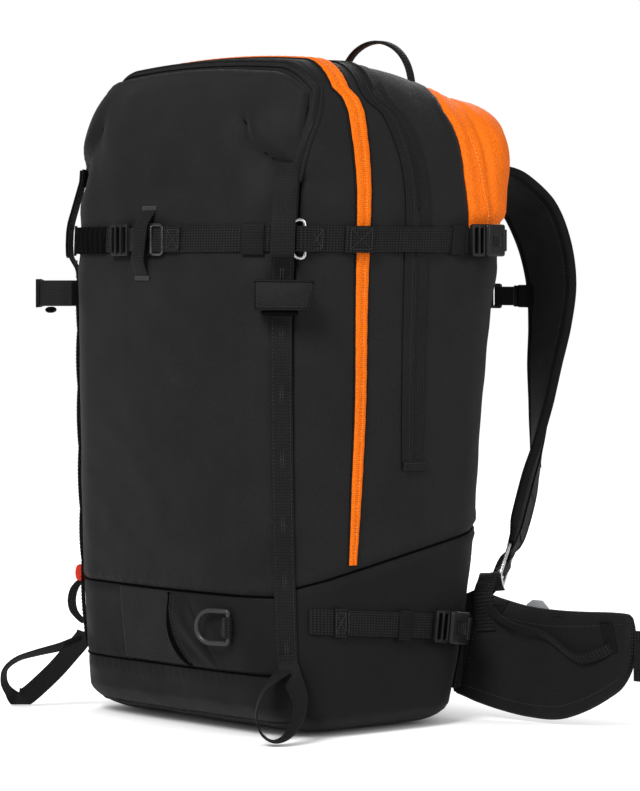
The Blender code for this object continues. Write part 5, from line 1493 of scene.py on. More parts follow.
def makeAxeHolders():
    # a sewn tab of doubled webbing with a slanted end, over a rolled hook-and-loop band
    for side, word in sides:
        title = word.title()
        base, out, across = cornerAxes(holder["z"], holder["lift"])
        depth = holder["depth"] if side > 0 else holder["leftDepth"]
        half = holder["half"]

        def spot(a, b, z=0.0):
            return flipped(base + across * a + out * b + np.array([0, 0, z]), side)
        loop = [(-half * 0.95, 0.002), (-half, depth * 0.45), (-half * 0.8, depth * 0.86), (-half * 0.35, depth),
                (half * 0.35, depth),
                (half * 0.82, depth * 0.84), (half, depth * 0.45), (half * 0.95, 0.002), (half * 0.4, -0.0006),
                (-half * 0.4, -0.0006)]
        loop = smoothRoute([(a, b, 0) for a, b in loop + loop[:1]], 5)[:-1]
        centres = np.array([spot(a, b) for a, b, _ in loop])
        ways = unit(np.roll(centres, -1, 0) - np.roll(centres, 1, 0))
        ups, high = upright(centres), holder["high"]
        ring = bandThrough(centres, ups, unit(np.cross(ways, ups)), high, holder["web"], holder["round"], True)
        webbed(ring, "axeHolder" + title, "flap", ("axe_holder_" + word,))
        tall = high / 2 + 0.0006
        top = [(-half - 0.0004, -tall), (-half - 0.0004, tall), (half + 0.0075, tall - 0.0006),
               (half + 0.0085, tall - 0.0022), (half + 0.003, -tall + 0.0014), (half + 0.001, -tall)]
        if side < 0:   # the left tab is square
            top = [(-half * 0.7, tall), (-half * 0.7, -tall), (half * 0.7, -tall), (half * 0.7, tall)]
        at = axesAt(spot(0, depth + 0.0012), *mirrored(side, across, out))
        tab = plate([top], 0.0018, at, 0.0006)
        inEdit(tab, lambda: bpy.ops.mesh.normals_make_consistent(inside=False))
        webbed(tab, "axeTab" + title, "tab")
        edge = [at @ Vector((x, z, 0.0016)) for x, z in top]
        webbed(tubeAlong(smoothRoute(edge + edge[:1], 1), 0.0009, 6, up=flipped(out, side)),
               "axeTabEdge" + title, "elastic")
        rim = []
        inner = [(x * 0.93, z * 0.84) for x, z in top]
        for (x0, z0), (x1, z1) in zip(inner, inner[1:] + inner[:1]):
            line = np.array([at @ Vector((x0 + (x1 - x0) * k / 10, z0 + (z1 - z0) * k / 10, 0.001))
                             for k in range(11)])
            rim.append(stitchLine(line, np.tile(np.array(at.to_3x3() @ Vector((0, 0, 1))), (11, 1)), 0.0026,
                                  0.0021, 0.00042))
        webbed(joined(rim), "axeTabStitch" + title, "thread")
        roll = [spot(a, depth * 0.74, -high / 2 - holder["rollDrop"])
                for a in np.linspace(-half * 0.78, half * 0.7, 8)]
        webbed(tubeAlong(roll, [0.002, 0.0038, 0.0042, 0.0042, 0.0042, 0.0042, 0.0038, 0.002], 10, squash=0.7,
                         up=(0, 0, 1)), "axeRoll" + title, "gathers")


def makeAxeLoops():
    # bands of flat webbing that leave the corner tapes, turn over and come back
    for side, word in sides:
        base = onBag(0.5, axeLoop["z"], axeLoop["lift"])[0]
        right, near = np.array(axeLoop["right"]), np.array(axeLoop["near"])
        if side < 0:
            base = base * (-1, 1, 1)
        route = smoothRoute([base + right * a + near * b + np.array([0, 0, c])
                             for a, b, c in axeLoop["path" if side > 0 else "leftPath"]], 6)
        route[:, 2] = np.maximum(route[:, 2], axeLoop["lowest"])
        ways = waysOf(route)
        share = np.linspace(0, 1, len(route))
        turn = np.radians(np.interp(share, [0, 0.1, 0.3, 0.5, 0.62, 0.85, 1.0], [0, 8, 42, 74, 88, 84, 40]))
        wide = right * np.cos(turn)[:, None] + near * np.sin(turn)[:, None]
        if side < 0:   # the left loop lies out to the side, its lower strand to the front
            turn = np.radians(np.interp(share, [0, 0.1, 0.36, 0.52, 0.62, 0.85, 1.0], [30, 12, 10, 74, 80, 62, 60]))
            wide = unit(np.cross(near, ways)) * np.cos(turn)[:, None] + near * np.sin(turn)[:, None]
        facing = unit(np.cross(wide, ways))
        wide = unit(np.cross(ways, facing))
        route[:, 2] = np.maximum(route[:, 2], 0.0012 + np.abs(wide[:, 2]) * axeLoop["wide"] / 2)
        band = bandThrough(route, wide, facing, axeLoop["wide"], axeLoop["web"])
        webbed(band, "axeLoop" + word.title(), "tape", ("axe_loop_" + word,), "axe_loop_" + word)
        marks = []
        for k in (2, 5):
            line = np.array([route[k] + wide[k] * x + facing[k] * 0.0008 for x in np.linspace(-0.007, 0.007, 11)])
            zig = line + ways[k] * (np.arange(11) % 2 * 2 - 1)[:, None] * 0.001
            marks.append(stitchLine(zig, np.tile(facing[k], (11, 1)), 0.0016, 0.002, 0.00034))
        webbed(joined(marks), "axeLoopTack" + word.title(), "thread", body="axe_loop_" + word)


def makeHaulLoop():
    # a cord of flat webbing with its two ends sewn under the crown
    foot = topAt(haulLoop["half"], haulLoop["y"])[2] + 0.0016
    turns = np.linspace(0, math.pi, 45)
    route = np.stack([-haulLoop["half"] * np.cos(turns), np.full(45, haulLoop["y"]),
                      foot + haulLoop["high"] * np.sin(turns) ** 0.8], -1)
    route = np.concatenate([[route[0] - (0, 0, 0.004)], route, [route[-1] - (0, 0, 0.004)]])
    loop = bandAcross(route, np.tile([0, 1.0, 0], (len(route), 1)), haulLoop["wide"], haulLoop["thick"], 0.5)
    webbed(loop, "haulLoop", "webbing", ("haul_loop",), "haul_loop")
    feet = []
    for x in (-haulLoop["half"], haulLoop["half"]):
        here = topAt(x, haulLoop["y"])
        half = haulLoop["foot"]
        feet.append(block((x - half, haulLoop["y"] - half, here[2] - 0.0022),
                          (x + half, haulLoop["y"] + half, here[2] + 0.0016), rounding=0.001))
    webbed(joined(feet), "haulLoopFeet", "binding")


def makeGearRing():
    # the coated ring beside the pocket's mouth, and its tab
    pocket = roundBag(turnAtX(ringLook["x"], ringLook["z"]), ringLook["z"])
    bar = np.array([ringLook["x"], pocket[1] - 0.0075, ringLook["z"]])
    angle = math.radians(ringLook["angle"])
    away, up = np.array([-math.cos(angle), -math.sin(angle), 0]), np.array([0, 0, 1.0])
    half, straight = ringLook["half"], ringLook["depth"] - ringLook["half"]
    route = [bar + up * h for h in np.linspace(-half + 0.0015, half - 0.0015, 9)]
    route.append(bar + up * half * 0.985 + away * 0.001)
    route += [bar + away * straight * share + up * half for share in (0.12, 0.35, 0.75)]
    route += [bar + away * (straight + half * math.sin(t)) + up * half * math.cos(t)
              for t in np.linspace(0, math.pi, 21)]
    route += [bar + away * straight * share - up * half for share in (0.75, 0.35, 0.12)]
    route.append(bar - up * half * 0.985 + away * 0.001)
    side = np.cross(away, up)
    done(tubeAlong(route, ringLook["radius"], 14, True, up=side), "gearRing", "ringAlloy", "gear_ring",
         ("gear_ring",), 60)

    # the tab wraps the bar and both its tails are sewn to the pocket under the ring
    loop = [bar + np.array([math.cos(t), math.sin(t), 0]) * ringLook["wrap"]
            for t in np.linspace(math.radians(130), math.radians(-150), 19)]
    tail = [(-0.027, 0.003), (-0.019, 0.0034), (-0.01, 0.0042)]
    start = [np.array([ringLook["x"] + x, pocket[1] - d - 0.1 * x, ringLook["z"]]) for x, d in tail]
    end = [np.array([ringLook["x"] + x, pocket[1] - d - 0.0016 - 0.1 * x, ringLook["z"]]) for x, d in tail[::-1]]
    route = smoothRoute(np.array(start + loop + end), 2)
    webbed(bandAcross(route, upright(route), ringLook["tab"], 0.0013), "ringTab", "webbing", ("ring_tab",))
    spots = [(-0.025, -0.008), (-0.025, 0.008), (-0.0195, 0.008), (-0.0195, -0.008), (-0.025, -0.008)]
    line = []
    for (a, b), (c, d) in zip(spots, spots[1:]):
        line += [(ringLook["x"] + a + (c - a) * k / 6, pocket[1] - 0.0034, ringLook["z"] + b + (d - b) * k / 6)
                 for k in range(7)]
    webbed(stitchLine(np.array(line), np.tile([0, -1.0, 0], (len(line), 1)), 0.0022, 0.0018, 0.0003),
           "ringTabStitch", "thread")


# lower pocket
pocketLook = {"flapLeft": -0.057, "openingTop": (0.02, 0.1175), "openingFoot": (0.0455, 0.0515), "bag": 0.0062,
              "flap": 0.0012}


def pocketEdge(z):
    # the x at which the pocket's slanted mouth stands
    (x1, z1), (x0, z0) = pocketLook["openingTop"], pocketLook["openingFoot"]
    t = (z - z0) / (z1 - z0)
    return x0 + (x1 - x0) * t - 0.007 * np.sin(np.clip(t, 0, 1) * math.pi)


def frontTurn(x, z=0.09):
    turns = np.linspace(-0.9, 0.9, 361)
    return np.interp(x, roundBag(turns, np.full(361, z))[:, 0], turns)


def makePocket():
    # the stretch pocket: a flap, a near-black sheet in its slanted mouth as painted shade, and the loose face
    low, top = seams["pocketLow"] + 0.0052, seams["pocketTop"] - 0.0016

    def flapPlace(s, t):
        z = low + (top - low) * t
        right = pocketEdge(z) + 0.004
        return roundBag(frontTurn(pocketLook["flapLeft"] + (right - pocketLook["flapLeft"]) * s), z)
    flap = laidSheet(flapPlace, 34, 26, lambda s, t: 0.0007 + 0.0006 * np.sin(np.pi * s) * np.sin(np.pi * t),
                     pocketLook["flap"], 0.0004)
    webbed(flap, "pocketFlap", "flap")
    route, outs = laidOn(flapPlace, 0.02, np.linspace(0.02, 0.98, 40), 0.002)
    webbed(stitchLine(route, outs, 0.0032, 0.0022, 0.00026), "pocketFlapStitch", "thread")

    def facePlace(s, t):
        z = low + (top - low) * t
        left = pocketEdge(z)
        return roundBag(frontTurn(left + (0.139 - left) * s), z)

    def faceLift(s, t):
        rim = np.sin(np.pi * np.clip(t, 0, 1)) ** 0.8
        stand = pocketLook["bag"] * rim * np.exp(-(s / 0.34) ** 1.5)
        folds = 0.0016 * np.sin(19 * s + 7 * t + 1.0) * rim * hump(s - 0.2, 0.2)
        crease = -0.0026 * hump(s - 0.16 - 0.2 * (1 - t), 0.04) * rim
        return 0.001 + stand + folds + crease + 0.0007 * rim * np.sin(np.pi * s)
    face = laidSheet(facePlace, 64, 40, faceLift, 0.0013, 0.0004)
    webbed(face, "pocketFace", "boot")

    # a near-black sheet under the slanted mouth: painted shade for the dark gap of the opening
    def mouthShadePlace(s, t):
        z = low + (top - low) * t
        wide = 0.003 + 0.012 * np.sin(np.pi * np.clip(t, 0, 1) ** 0.56)
        return roundBag(frontTurn(pocketEdge(z) + 0.001 - wide * (1 - s)), z)
    webbed(laidSheet(mouthShadePlace, 8, 40, 0.0036, 0.0006), "pocketMouthShade", "shadeCord")
    t = np.linspace(0.03, 0.97, 60)
    for name, s, finish, lift in (("pocketRim", 0.006, "webbing", 0.0006),
                                  ("pocketRimStitch", 0.045, "thread", 0.0014)):
        route, outs = laidOn(facePlace, s, t, faceLift(s, t) + lift)
        piece = tubeAlong(route, 0.0015, 8) if name == "pocketRim" else stitchLine(route, outs, 0.003,
            0.0021, 0.0003)
        webbed(piece, name, finish)


smallLoops = {"redTag": {"turn": 0.497, "wide": 0.01, "thick": 0.0011, "finish": "redTag",
                         "marks": ((0.135, 0.0006), (0.1335, 0.0026), (0.13, 0.004), (0.125, 0.0042),
                                   (0.121, 0.003), (0.1195, 0.0006))},
              "sideLoop": {"turn": 0.505, "wide": 0.008, "thick": 0.0012, "finish": "webbing",
                           "marks": ((0.1215, 0.0015), (0.1185, 0.006), (0.112, 0.011), (0.102, 0.0135),
                                     (0.092, 0.012), (0.084, 0.006), (0.08, 0.0015))}}


def makeSmallLoops():
    # the red pull tag and the small side loop of the left edge, through marks of height and way out
    for name, look in smallLoops.items():
        route = smoothRoute([flipped(onBag(look["turn"], z, lift)[0], -1) for z, lift in look["marks"]], 4)
        across = unit(np.tile([0.62, 0.78, 0.0], (len(route), 1)))
        webbed(bandAcross(route, across, look["wide"], look["thick"]), name, look["finish"])


makeAxeHolders()
makeAxeLoops()
makeHaulLoop()
makeGearRing()
makePocket()
makeSmallLoops()
print("loops, rings and pocket done")


# shoulder straps
harness = {"thick": 0.0095, "wideTop": 0.073, "wideEnd": 0.046, "binding": 0.0068, "stitchIn": 0.0085,
           "webbing": 0.02,
           "route": ((0.06, 0.1683, 0.498), (0.063, 0.182, 0.4995), (0.067, 0.205, 0.492), (0.073, 0.233, 0.468),
                     (0.08, 0.248, 0.434),
                     (0.085, 0.2535, 0.395), (0.088, 0.249, 0.356), (0.09, 0.24, 0.316), (0.092, 0.233, 0.2755),
                     (0.097, 0.223, 0.242), (0.102, 0.209, 0.208), (0.108, 0.19, 0.172), (0.112, 0.176, 0.15)),
           "turn": (0, 0, 0, 0, -2, -5, -11, -19, -30, -43, -56, -58, -53)}
adjuster = {"wide": 0.029, "tall": 0.036, "thick": 0.0031, "tip": 4}
sternum = {"z": 0.3825, "wide": 0.018, "web": 0.0015, "length": 0.021, "width": 0.024, "height": 0.008,
           "wall": 0.0022, "frame": 0.014}
grip = {"length": 0.088, "wide": 0.019, "high": 0.011, "z": 0.322, "bed": 0.003}


def strapRun(steps=8):
    # points, ways across, ways out and widths of the right shoulder strap
    route = smoothRoute(harness["route"], steps)
    share = np.arange(len(route)) / steps
    turn = np.radians(curveThrough(list(enumerate(harness["turn"])), share))
    across = np.stack([np.cos(turn), np.sin(turn), turn * 0], -1)
    ways = waysOf(route)
    outs = unit(np.cross(across, ways))
    across = unit(np.cross(ways, outs))
    last = len(harness["route"]) - 1
    width = harness["wideTop"] + (harness["wideEnd"] - harness["wideTop"]) * np.clip((share - 3) / (last - 3), 0, 1)
    return route, across, outs, width


def strapSpot(z, run):
    # the place, way across, way out, way along and width of a strap's lower run at height z
    route, across, outs, width = run
    low = np.arange(len(route)) >= len(route) // 3
    order = np.argsort(route[low][:, 2])
    at = [np.array([np.interp(z, route[low][order, 2], part[low][order, c]) for c in range(3)])
          for part in (route, across, outs)]
    ways = waysOf(route)
    way = np.array([np.interp(z, route[low][order, 2], ways[low][order, c]) for c in range(3)])
    return at[0], unit(at[1]), unit(at[2]), unit(way), float(np.interp(z, route[low][order, 2], width[low][order]))


def roundedSection(halfWide, halfThick, count=32, squareness=0.42, crown=0.0):
    # a flat rounded outline, a little fuller in the middle
    found = []
    for turn in np.linspace(0, 2 * math.pi, count, endpoint=False):
        c, s = math.cos(turn), math.sin(turn)
        a = math.copysign(abs(c) ** squareness, c) * halfWide
        found.append((a, math.copysign(abs(s) ** 0.6, s) * halfThick * (1 - crown * (a / halfWide) ** 2)))
    return found


def makeShoulderStraps():
    # both padded straps with their edge tape, stitches, webbing and adjusters
    run = strapRun()
    route, across, outs, width = run
    share = np.linspace(0, 1, len(route))
    ways = waysOf(route)
    for side, word in sides:
        title, body = word.title(), "strap_" + word
        thick = harness["thick"] * (1 - 0.42 * unitStep(share, 0.93, 1.0)) * (0.72
            + 0.28 * unitStep(share, 0.0, 0.05))
        wide = width * (1 - 0.3 * unitStep(share, 0.955, 1.0))
        start = route[0] - ways[0] * 0.003
        centres = np.concatenate([[start], route])
        rings = sectionRings(flipped(centres, side), flipped(np.concatenate([across[:1], across]), side),
                             flipped(np.concatenate([outs[:1], outs]), side),
                             lambda i: roundedSection(wide[max(i - 1, 0)] / 2 - 0.0012,
                                                      thick[max(i - 1, 0)] / 2, crown=0.22))
        strap = ringed(rings)
        if side < 0:
            inEdit(strap, lambda: bpy.ops.mesh.normals_make_consistent(inside=False))
        done(strap, "shoulderStrap" + title, "strapCover", body, ("shoulder_strap_" + word,), 50)

        # the sewn edge tape folds round each edge
        for edge, name in ((1, "Outer"), (-1, "Inner")):
            centre = route + across * (edge * (wide / 2 - harness["binding"] / 2 + 0.0004))[:, None]

            def outline(i):
                half = [(-0.0034, 0.44, 0), (0.0, 0.46, 0.0002), (0.0022, 0.4, 0), (0.0034, 0.18, 0)]
                upper = [(edge * x, thick[i] * share + more) for x, share, more in half]
                return upper + [(edge * 0.0036, 0.0)] + [(x, -h) for x, h in upper[::-1]] + [(edge * -0.002, 0.0)]
            rings = sectionRings(*mirrored(side, centre, across, outs), outline)
            webbed(ringed(rings), "strapBinding" + name + title, "binding", body=body)
        marks = []
        for edge in (1, -1):
            for face in (1, -1):
                line = route + across * (edge * (wide / 2 - harness["stitchIn"]))[:, None]
                line = line + outs * (face * thick * 0.485)[:, None]
                marks.append(stitchLine(flipped(line, side), flipped(outs * face, side), 0.0032, 0.0022, 0.00034))
        webbed(joined(marks), "strapStitch" + title, "thread", body=body)

        # flat webbing down the outer face, tacked in steps, and the slide rail of the sternum strap
        a, b = int(len(route) * 0.12), int(len(route) * 0.965)
        if side > 0:
            line = route[a:b] + outs[a:b] * (thick[a:b, None] / 2 + 0.0008)
            webbed(bandThrough(line, across[a:b], outs[a:b], 0.02, 0.0014), "strapWebbing" + title,
                   "webbing", body=body)
        tacks = []
        for z in (0.455, 0.425, 0.402, 0.362, 0.262, 0.226, 0.196):
            if side < 0 and 0.2 < z < 0.39:
                continue
            spot, beside, out, way, _ = strapSpot(z, run)
            lift = harness["thick"] / 2 + (0.0016 if side > 0 else 0.0002)
            bar = [spot + beside * x + out * lift + way * (0.0008 if k % 2 else -0.0008)
                   for k, x in enumerate(np.linspace(-0.0085, 0.0085, 12))]
            tacks.append(stitchLine(flipped(bar, side), flipped(np.tile(out, (12, 1)), side), 0.0015,
                                    0.002, 0.00042))
        webbed(joined(tacks), "strapTacks" + title, "thread", body=body)
        makeAdjuster(side, word, run)


def makeAdjuster(side, word, run):
    # a ladder buckle of bright alloy on a loop of webbing
    route, across, outs, _ = run
    end, way, out = route[-1], unit(route[-1] - route[-9]), outs[-1]
    middle = end + way * (adjuster["tall"] / 2 + 0.0005)
    at = axesAt(*mirrored(side, middle, way, out))
    at = at @ Matrix.Rotation(math.radians(adjuster["tip"] * side), 4, "X")
    tall, wide = adjuster["tall"] / 2, adjuster["wide"] / 2
    loops = [roundLoop(-tall, tall, -wide, wide, 0.0042),
             roundLoop(-tall + 0.0035, -0.0045, -wide + 0.0035, wide - 0.0035, 0.0012),
             roundLoop(0.0, tall - 0.0035, -wide + 0.0035, wide - 0.0035, 0.0012)]
    body = "strap_" + word
    done(plate(loops, adjuster["thick"], at, 0.0009), "strapAdjuster" + word.title(), "metal", body,
         ("strap_adjuster_" + word,), 40)
    holdIn = [flipped(middle + way * x + out * h, side)
              for x, h in ((-0.03, 0.004), (-0.0235, 0.0036), (-0.019, 0.003), (-0.016, 0.0028), (-0.0132, 0.0022),
                                      (-0.012, 0.0004), (-0.013, -0.0018), (-0.016, -0.0028), (-0.019, -0.003),
                                      (-0.0235, -0.0034), (-0.03, -0.0038))]
    holdIn = smoothRoute(holdIn, 3)
    wideWay = np.tile(flipped(across[-1], side), (len(holdIn), 1))
    webbed(bandThrough(holdIn, wideWay, unit(np.cross(waysOf(holdIn), wideWay)), 0.0195, 0.0013),
           "adjusterLoop" + word.title(), "webbing", body=body)
    makeLowerWebbing(side, word, middle, way, out, across[-1])


def makeLowerWebbing(side, word, middle, way, out, wideWay):
    # from the end of the belt's core up and through the adjuster, with its free tail
    foot = []
    for x, z, lift in ((0.149, 0.08, 0.0008), (0.148, 0.09, 0.0009), (0.1465, 0.102, 0.001),
                       (0.145, 0.1125, 0.0006)):
        at, t = wingShare(x, z)
        foot.append(wingAt(at, t, wingSwell(at, min(t, 0.94), 1) + lift))
    foot.append(np.array([0.142, 0.115, 0.1235]))
    foot.append(np.array([0.134, 0.127, 0.13]))
    through = [middle + way * x + out * h for x, h in ((0.028, -0.0026), (0.0215, -0.003), (0.015, -0.0032),
        (0.0085, -0.0016), (0.003, 0.0016), (-0.0022, 0.003), (-0.0062, 0.0018), (-0.0082, -0.0012),
                                                       (-0.0064, -0.0036), (0.0, -0.0062))]
    tail = [middle + way * x + out * h + np.array([0, dy, dz]) for x, h, dy, dz in (
        (0.01, -0.0074, 0.0, 0.0), (0.019, -0.008, 0.0, -0.002), (0.027, -0.0082, 0.004, -0.006))]
    points = foot + through + tail
    route = smoothRoute(points, 5)
    count = len(route)
    share = np.linspace(0, 1, count)
    low = unitStep(share, 0.2, 0.42)[:, None]
    start = unit(np.array([0.93, 0.36, 0]))
    wides = unit(start * (1 - low) + wideWay * low)
    ways = waysOf(route)
    faces = unit(np.cross(ways, wides))
    wides = unit(np.cross(faces, ways))
    web = bandThrough(*mirrored(side, route, wides, faces), 0.0192, 0.0014)
    webbed(web, "lowerWebbing" + word.title(), "webbing", ("lower_webbing_" + word,), None)
    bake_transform(web)


def makeSternumStrap():
    # the chest strap, with its socket on the left and its tongue on the right
    run = strapRun()
    spot, beside, _, _, width = strapSpot(sternum["z"], run)
    edge = spot - beside * width / 2
    y, z, x0 = edge[1], sternum["z"], edge[0]
    at = axesAt((0, y - 0.004, z), (-1, 0, 0), (0, 1, 0))
    look = sternum
    makeSocket(at, look, "sternumSocket", "strap_left", "sternum_socket")
    makeTongue(at, look, "sternumTongue", "sternum_tongue", "sternum_tongue", 0.0024, False)
    half = look["wide"] / 2
    for side, word, start, depth in ((1, "right", 0.0072, -0.0016), (-1, "left", look["length"] + 0.0006, 0.0)):
        body = "strap_" + word
        span = np.linspace(start, x0 - 0.0008, 15)
        wave = 0.0006 * np.sin(np.linspace(0, math.pi, 15))
        line = np.stack([span, y + depth + wave, np.full(15, z)], -1)
        ups = np.tile([0, 0, 1.0], (15, 1))
        strap = bandThrough(flipped(line, side), ups, np.tile([0, 1.0, 0], (15, 1)), look["wide"], look["web"])
        webbed(strap, "sternumStrap" + word.title(), "webbing", ("sternum_strap_" + word,), body)
        # where it wraps the slide on the padded strap it makes a soft double roll
        roll = [(x0 + 0.008, 0.005), (x0 + 0.003, 0.006), (x0 - 0.004, 0.0052), (x0 - 0.012, 0.003),
                (x0 - 0.015, 0.0002),
                (x0 - 0.012, -0.0028), (x0 - 0.004, -0.005), (x0 + 0.003, -0.006), (x0 + 0.008, -0.0052)]
        roll = smoothRoute([(x, y + d, z) for x, d in roll], 3)
        ups = upright(roll)
        ways = waysOf(roll)
        webbed(bandThrough(flipped(roll, side), ups, unit(np.cross(flipped(ways, side), ups)), 0.0215, 0.0014),
               "sternumLoop" + word.title(), "elastic" if side > 0 else "webbing", body=body)
        keep = block((x0 - 0.019, y - 0.0042, z - half - 0.0012), (x0 - 0.015, y + 0.0036, z + half + 0.0012),
                     rounding=0.0012)
        if side < 0:
            keep.data.transform(Matrix.Diagonal((-1, 1, 1, 1)))
            keep.data.flip_normals()
        done(keep, "sternumKeeper" + word.title(), "plastic", body, angle=35)


def makeTrigger():
    # the pull handle on the left strap, set a little off it, its end rings and the sleeve of its cable
    run = strapRun()
    spot, _, out, _, _ = strapSpot(grip["z"], run)
    above, below = strapSpot(grip["z"] + 0.02, run)[0], strapSpot(grip["z"] - 0.02, run)[0]
    along = unit(above - below)
    out = unit(out - along * out.dot(along))
    base = spot + out * (harness["thick"] / 2 + grip["bed"])
    across = np.cross(along, out)
    shares = np.linspace(-1, 1, 33)
    rings = []
    for s in shares:
        end = max(1 - abs(s) ** 8, 0.0) ** 0.5 * 0.9 + 0.1
        waist = 1 - 0.1 * (1 - s * s) + 0.05 * math.cos(s * 22) * (abs(s) < 0.75)
        outline = roundedSection(grip["wide"] / 2 * end * waist,
                                 grip["high"] / 2 * end * (0.94 + 0.04 * math.cos(s * 22)), 24, 0.6)
        rings.append([flipped(base + out * grip["high"] / 2 + along * s * grip["length"] / 2 + across * a + out * h,
                              -1) for a, h in outline])
    handle = ringed(rings)
    done(handle, "triggerHandle", "grip", "trigger_handle", ("trigger_handle",), 50)
    marks = []
    for s in (-0.86, 0.86):
        middle = base + out * grip["high"] / 2 + along * s * grip["length"] / 2
        turns = np.linspace(0, 2 * math.pi, 25)[:-1]
        ring = [flipped(middle + across * math.cos(t) * grip["wide"] * 0.475
                        + out * math.sin(t) * grip["high"] * 0.475, -1) for t in turns]
        marks.append(tubeAlong(ring, 0.0007, 6, True))
    done(joined(marks), "triggerHandleRings", "plastic", "trigger_handle", angle=50)
    # the sleeve that carries the cable down from the shoulder to the handle
    route, across, outs, _ = run
    ids = [i for i in range(len(route)) if i > len(route) * 0.03 and (i < len(route) // 3 or route[i][2] > grip["z"]
                                         + grip["length"] / 2 + 0.004)]
    line = route[ids] + outs[ids] * (harness["thick"] / 2 + 0.0012)
    rings = sectionRings(flipped(line, -1), flipped(across[ids], -1), flipped(outs[ids], -1),
                         lambda i: [(-0.011, -0.001), (-0.0105, 0.0), (-0.005, 0.0008), (-0.0036, 0.0026),
                                    (0, 0.0036), (0.0036, 0.0026), (0.005, 0.0008), (0.0105, 0.0), (0.011, -0.001)])
    webbed(ringed(rings), "cableSleeve", "binding", body="strap_left")


# hip belt
belted = {"route": ((0.1392, 0.108), (0.162, 0.1165), (0.19, 0.124), (0.222, 0.129), (0.252, 0.1332),
                    (0.28, 0.1371), (0.303, 0.1405)), "root": ((0.118, 0.099), (0.129, 0.1035)),
          "top": (0.108, 0.112, 0.115, 0.1085, 0.103, 0.1016, 0.1022, 0.1034, 0.103),
          "foot": (0.023, 0.019, 0.015, 0.009, 0.005, 0.0055, 0.0155, 0.031, 0.048), "thick": 0.011,
          "binding": 0.0085}
hipWeb = {"wide": 0.045, "thick": 0.002, "z": 0.0675,
          "route": ((0.3036, 0.1406), (0.318, 0.1428), (0.334, 0.1466), (0.35, 0.153),
                                                                (0.364, 0.165), (0.371, 0.181), (0.372, 0.198))}
hipBuckle = {"length": 0.046, "width": 0.052, "height": 0.012, "wall": 0.003, "frame": 0.027}


def wingAt(s, t, lift=0.0):
    # a point of the right wing: s from root to end, t from its lower edge to its upper, lift outwards
    points = np.array(belted["root"] + belted["route"])
    places = np.linspace(0, 1, len(points))
    s, t, lift = np.broadcast_arrays(np.asarray(s, float), np.asarray(t, float), np.asarray(lift, float))

    def plan(at):
        return np.stack([curveThrough(list(zip(places, points[:, k])), at) for k in (0, 1)], -1)
    here = plan(np.clip(s, 0, 1))
    way = unit(plan(np.clip(s + 0.01, 0, 1)) - plan(np.clip(s - 0.01, 0, 1)))
    top = curveThrough(list(zip(places, belted["top"])), s)
    foot = curveThrough(list(zip(places, belted["foot"])), s)
    # the end is rounded: its top corner tightly, its lower corner in a wide sweep
    near = np.clip((s - 0.955) / 0.045, 0, 1)
    top = top - 0.0105 * (1 - np.sqrt(np.clip(1 - near**2, 0, 1)))
    near = np.clip((s - 0.9) / 0.1, 0, 1)
    foot = foot + 0.02 * (1 - np.sqrt(np.clip(1 - near**2, 0, 1)))
    z = foot + (top - foot) * t
    return np.stack([here[..., 0] + way[..., 1] * lift, here[..., 1] - way[..., 0] * lift, z], -1)


def wingSwell(s, t, face):
    # how far the face of the wing stands off its middle plane
    edge = np.clip(np.minimum(t, 1 - t) / 0.13, 0, 1)
    end = np.clip((1 - s) / 0.05, 0, 1)
    full = 0.003 + (belted["thick"] / 2 - 0.003) * np.sqrt(np.clip(1 - (1 - edge) ** 2, 0,
        1)) * np.sqrt(np.clip(1 - (1 - end) ** 2, 0, 1))
    if face > 0:
        wave = 0.0007 * np.sin(9 * s + 5 * t) * np.sin(7 * t + 1) + 0.0005 * np.sin(17 * s - 6 * t)
        groove = 0.0016 * hump(s - 0.3 + 0.24 * (1 - t), 0.01)
        sag = 0.001 * hump(t - 0.55 + 0.35 * (s - 0.6), 0.07) * hump(s - 0.62, 0.25)
        return full + (wave + sag) * edge - groove * edge
    return full + 0.0006 * np.sin(11 * s) * edge


def onWing(s, t, lift):
    # a point on the outer face of the wing
    return wingAt(s, t, wingSwell(s, t, 1) + lift)


def wingOut(s, t):
    return unit(wingAt(s, t, 0.01) - wingAt(s, t, 0.0))


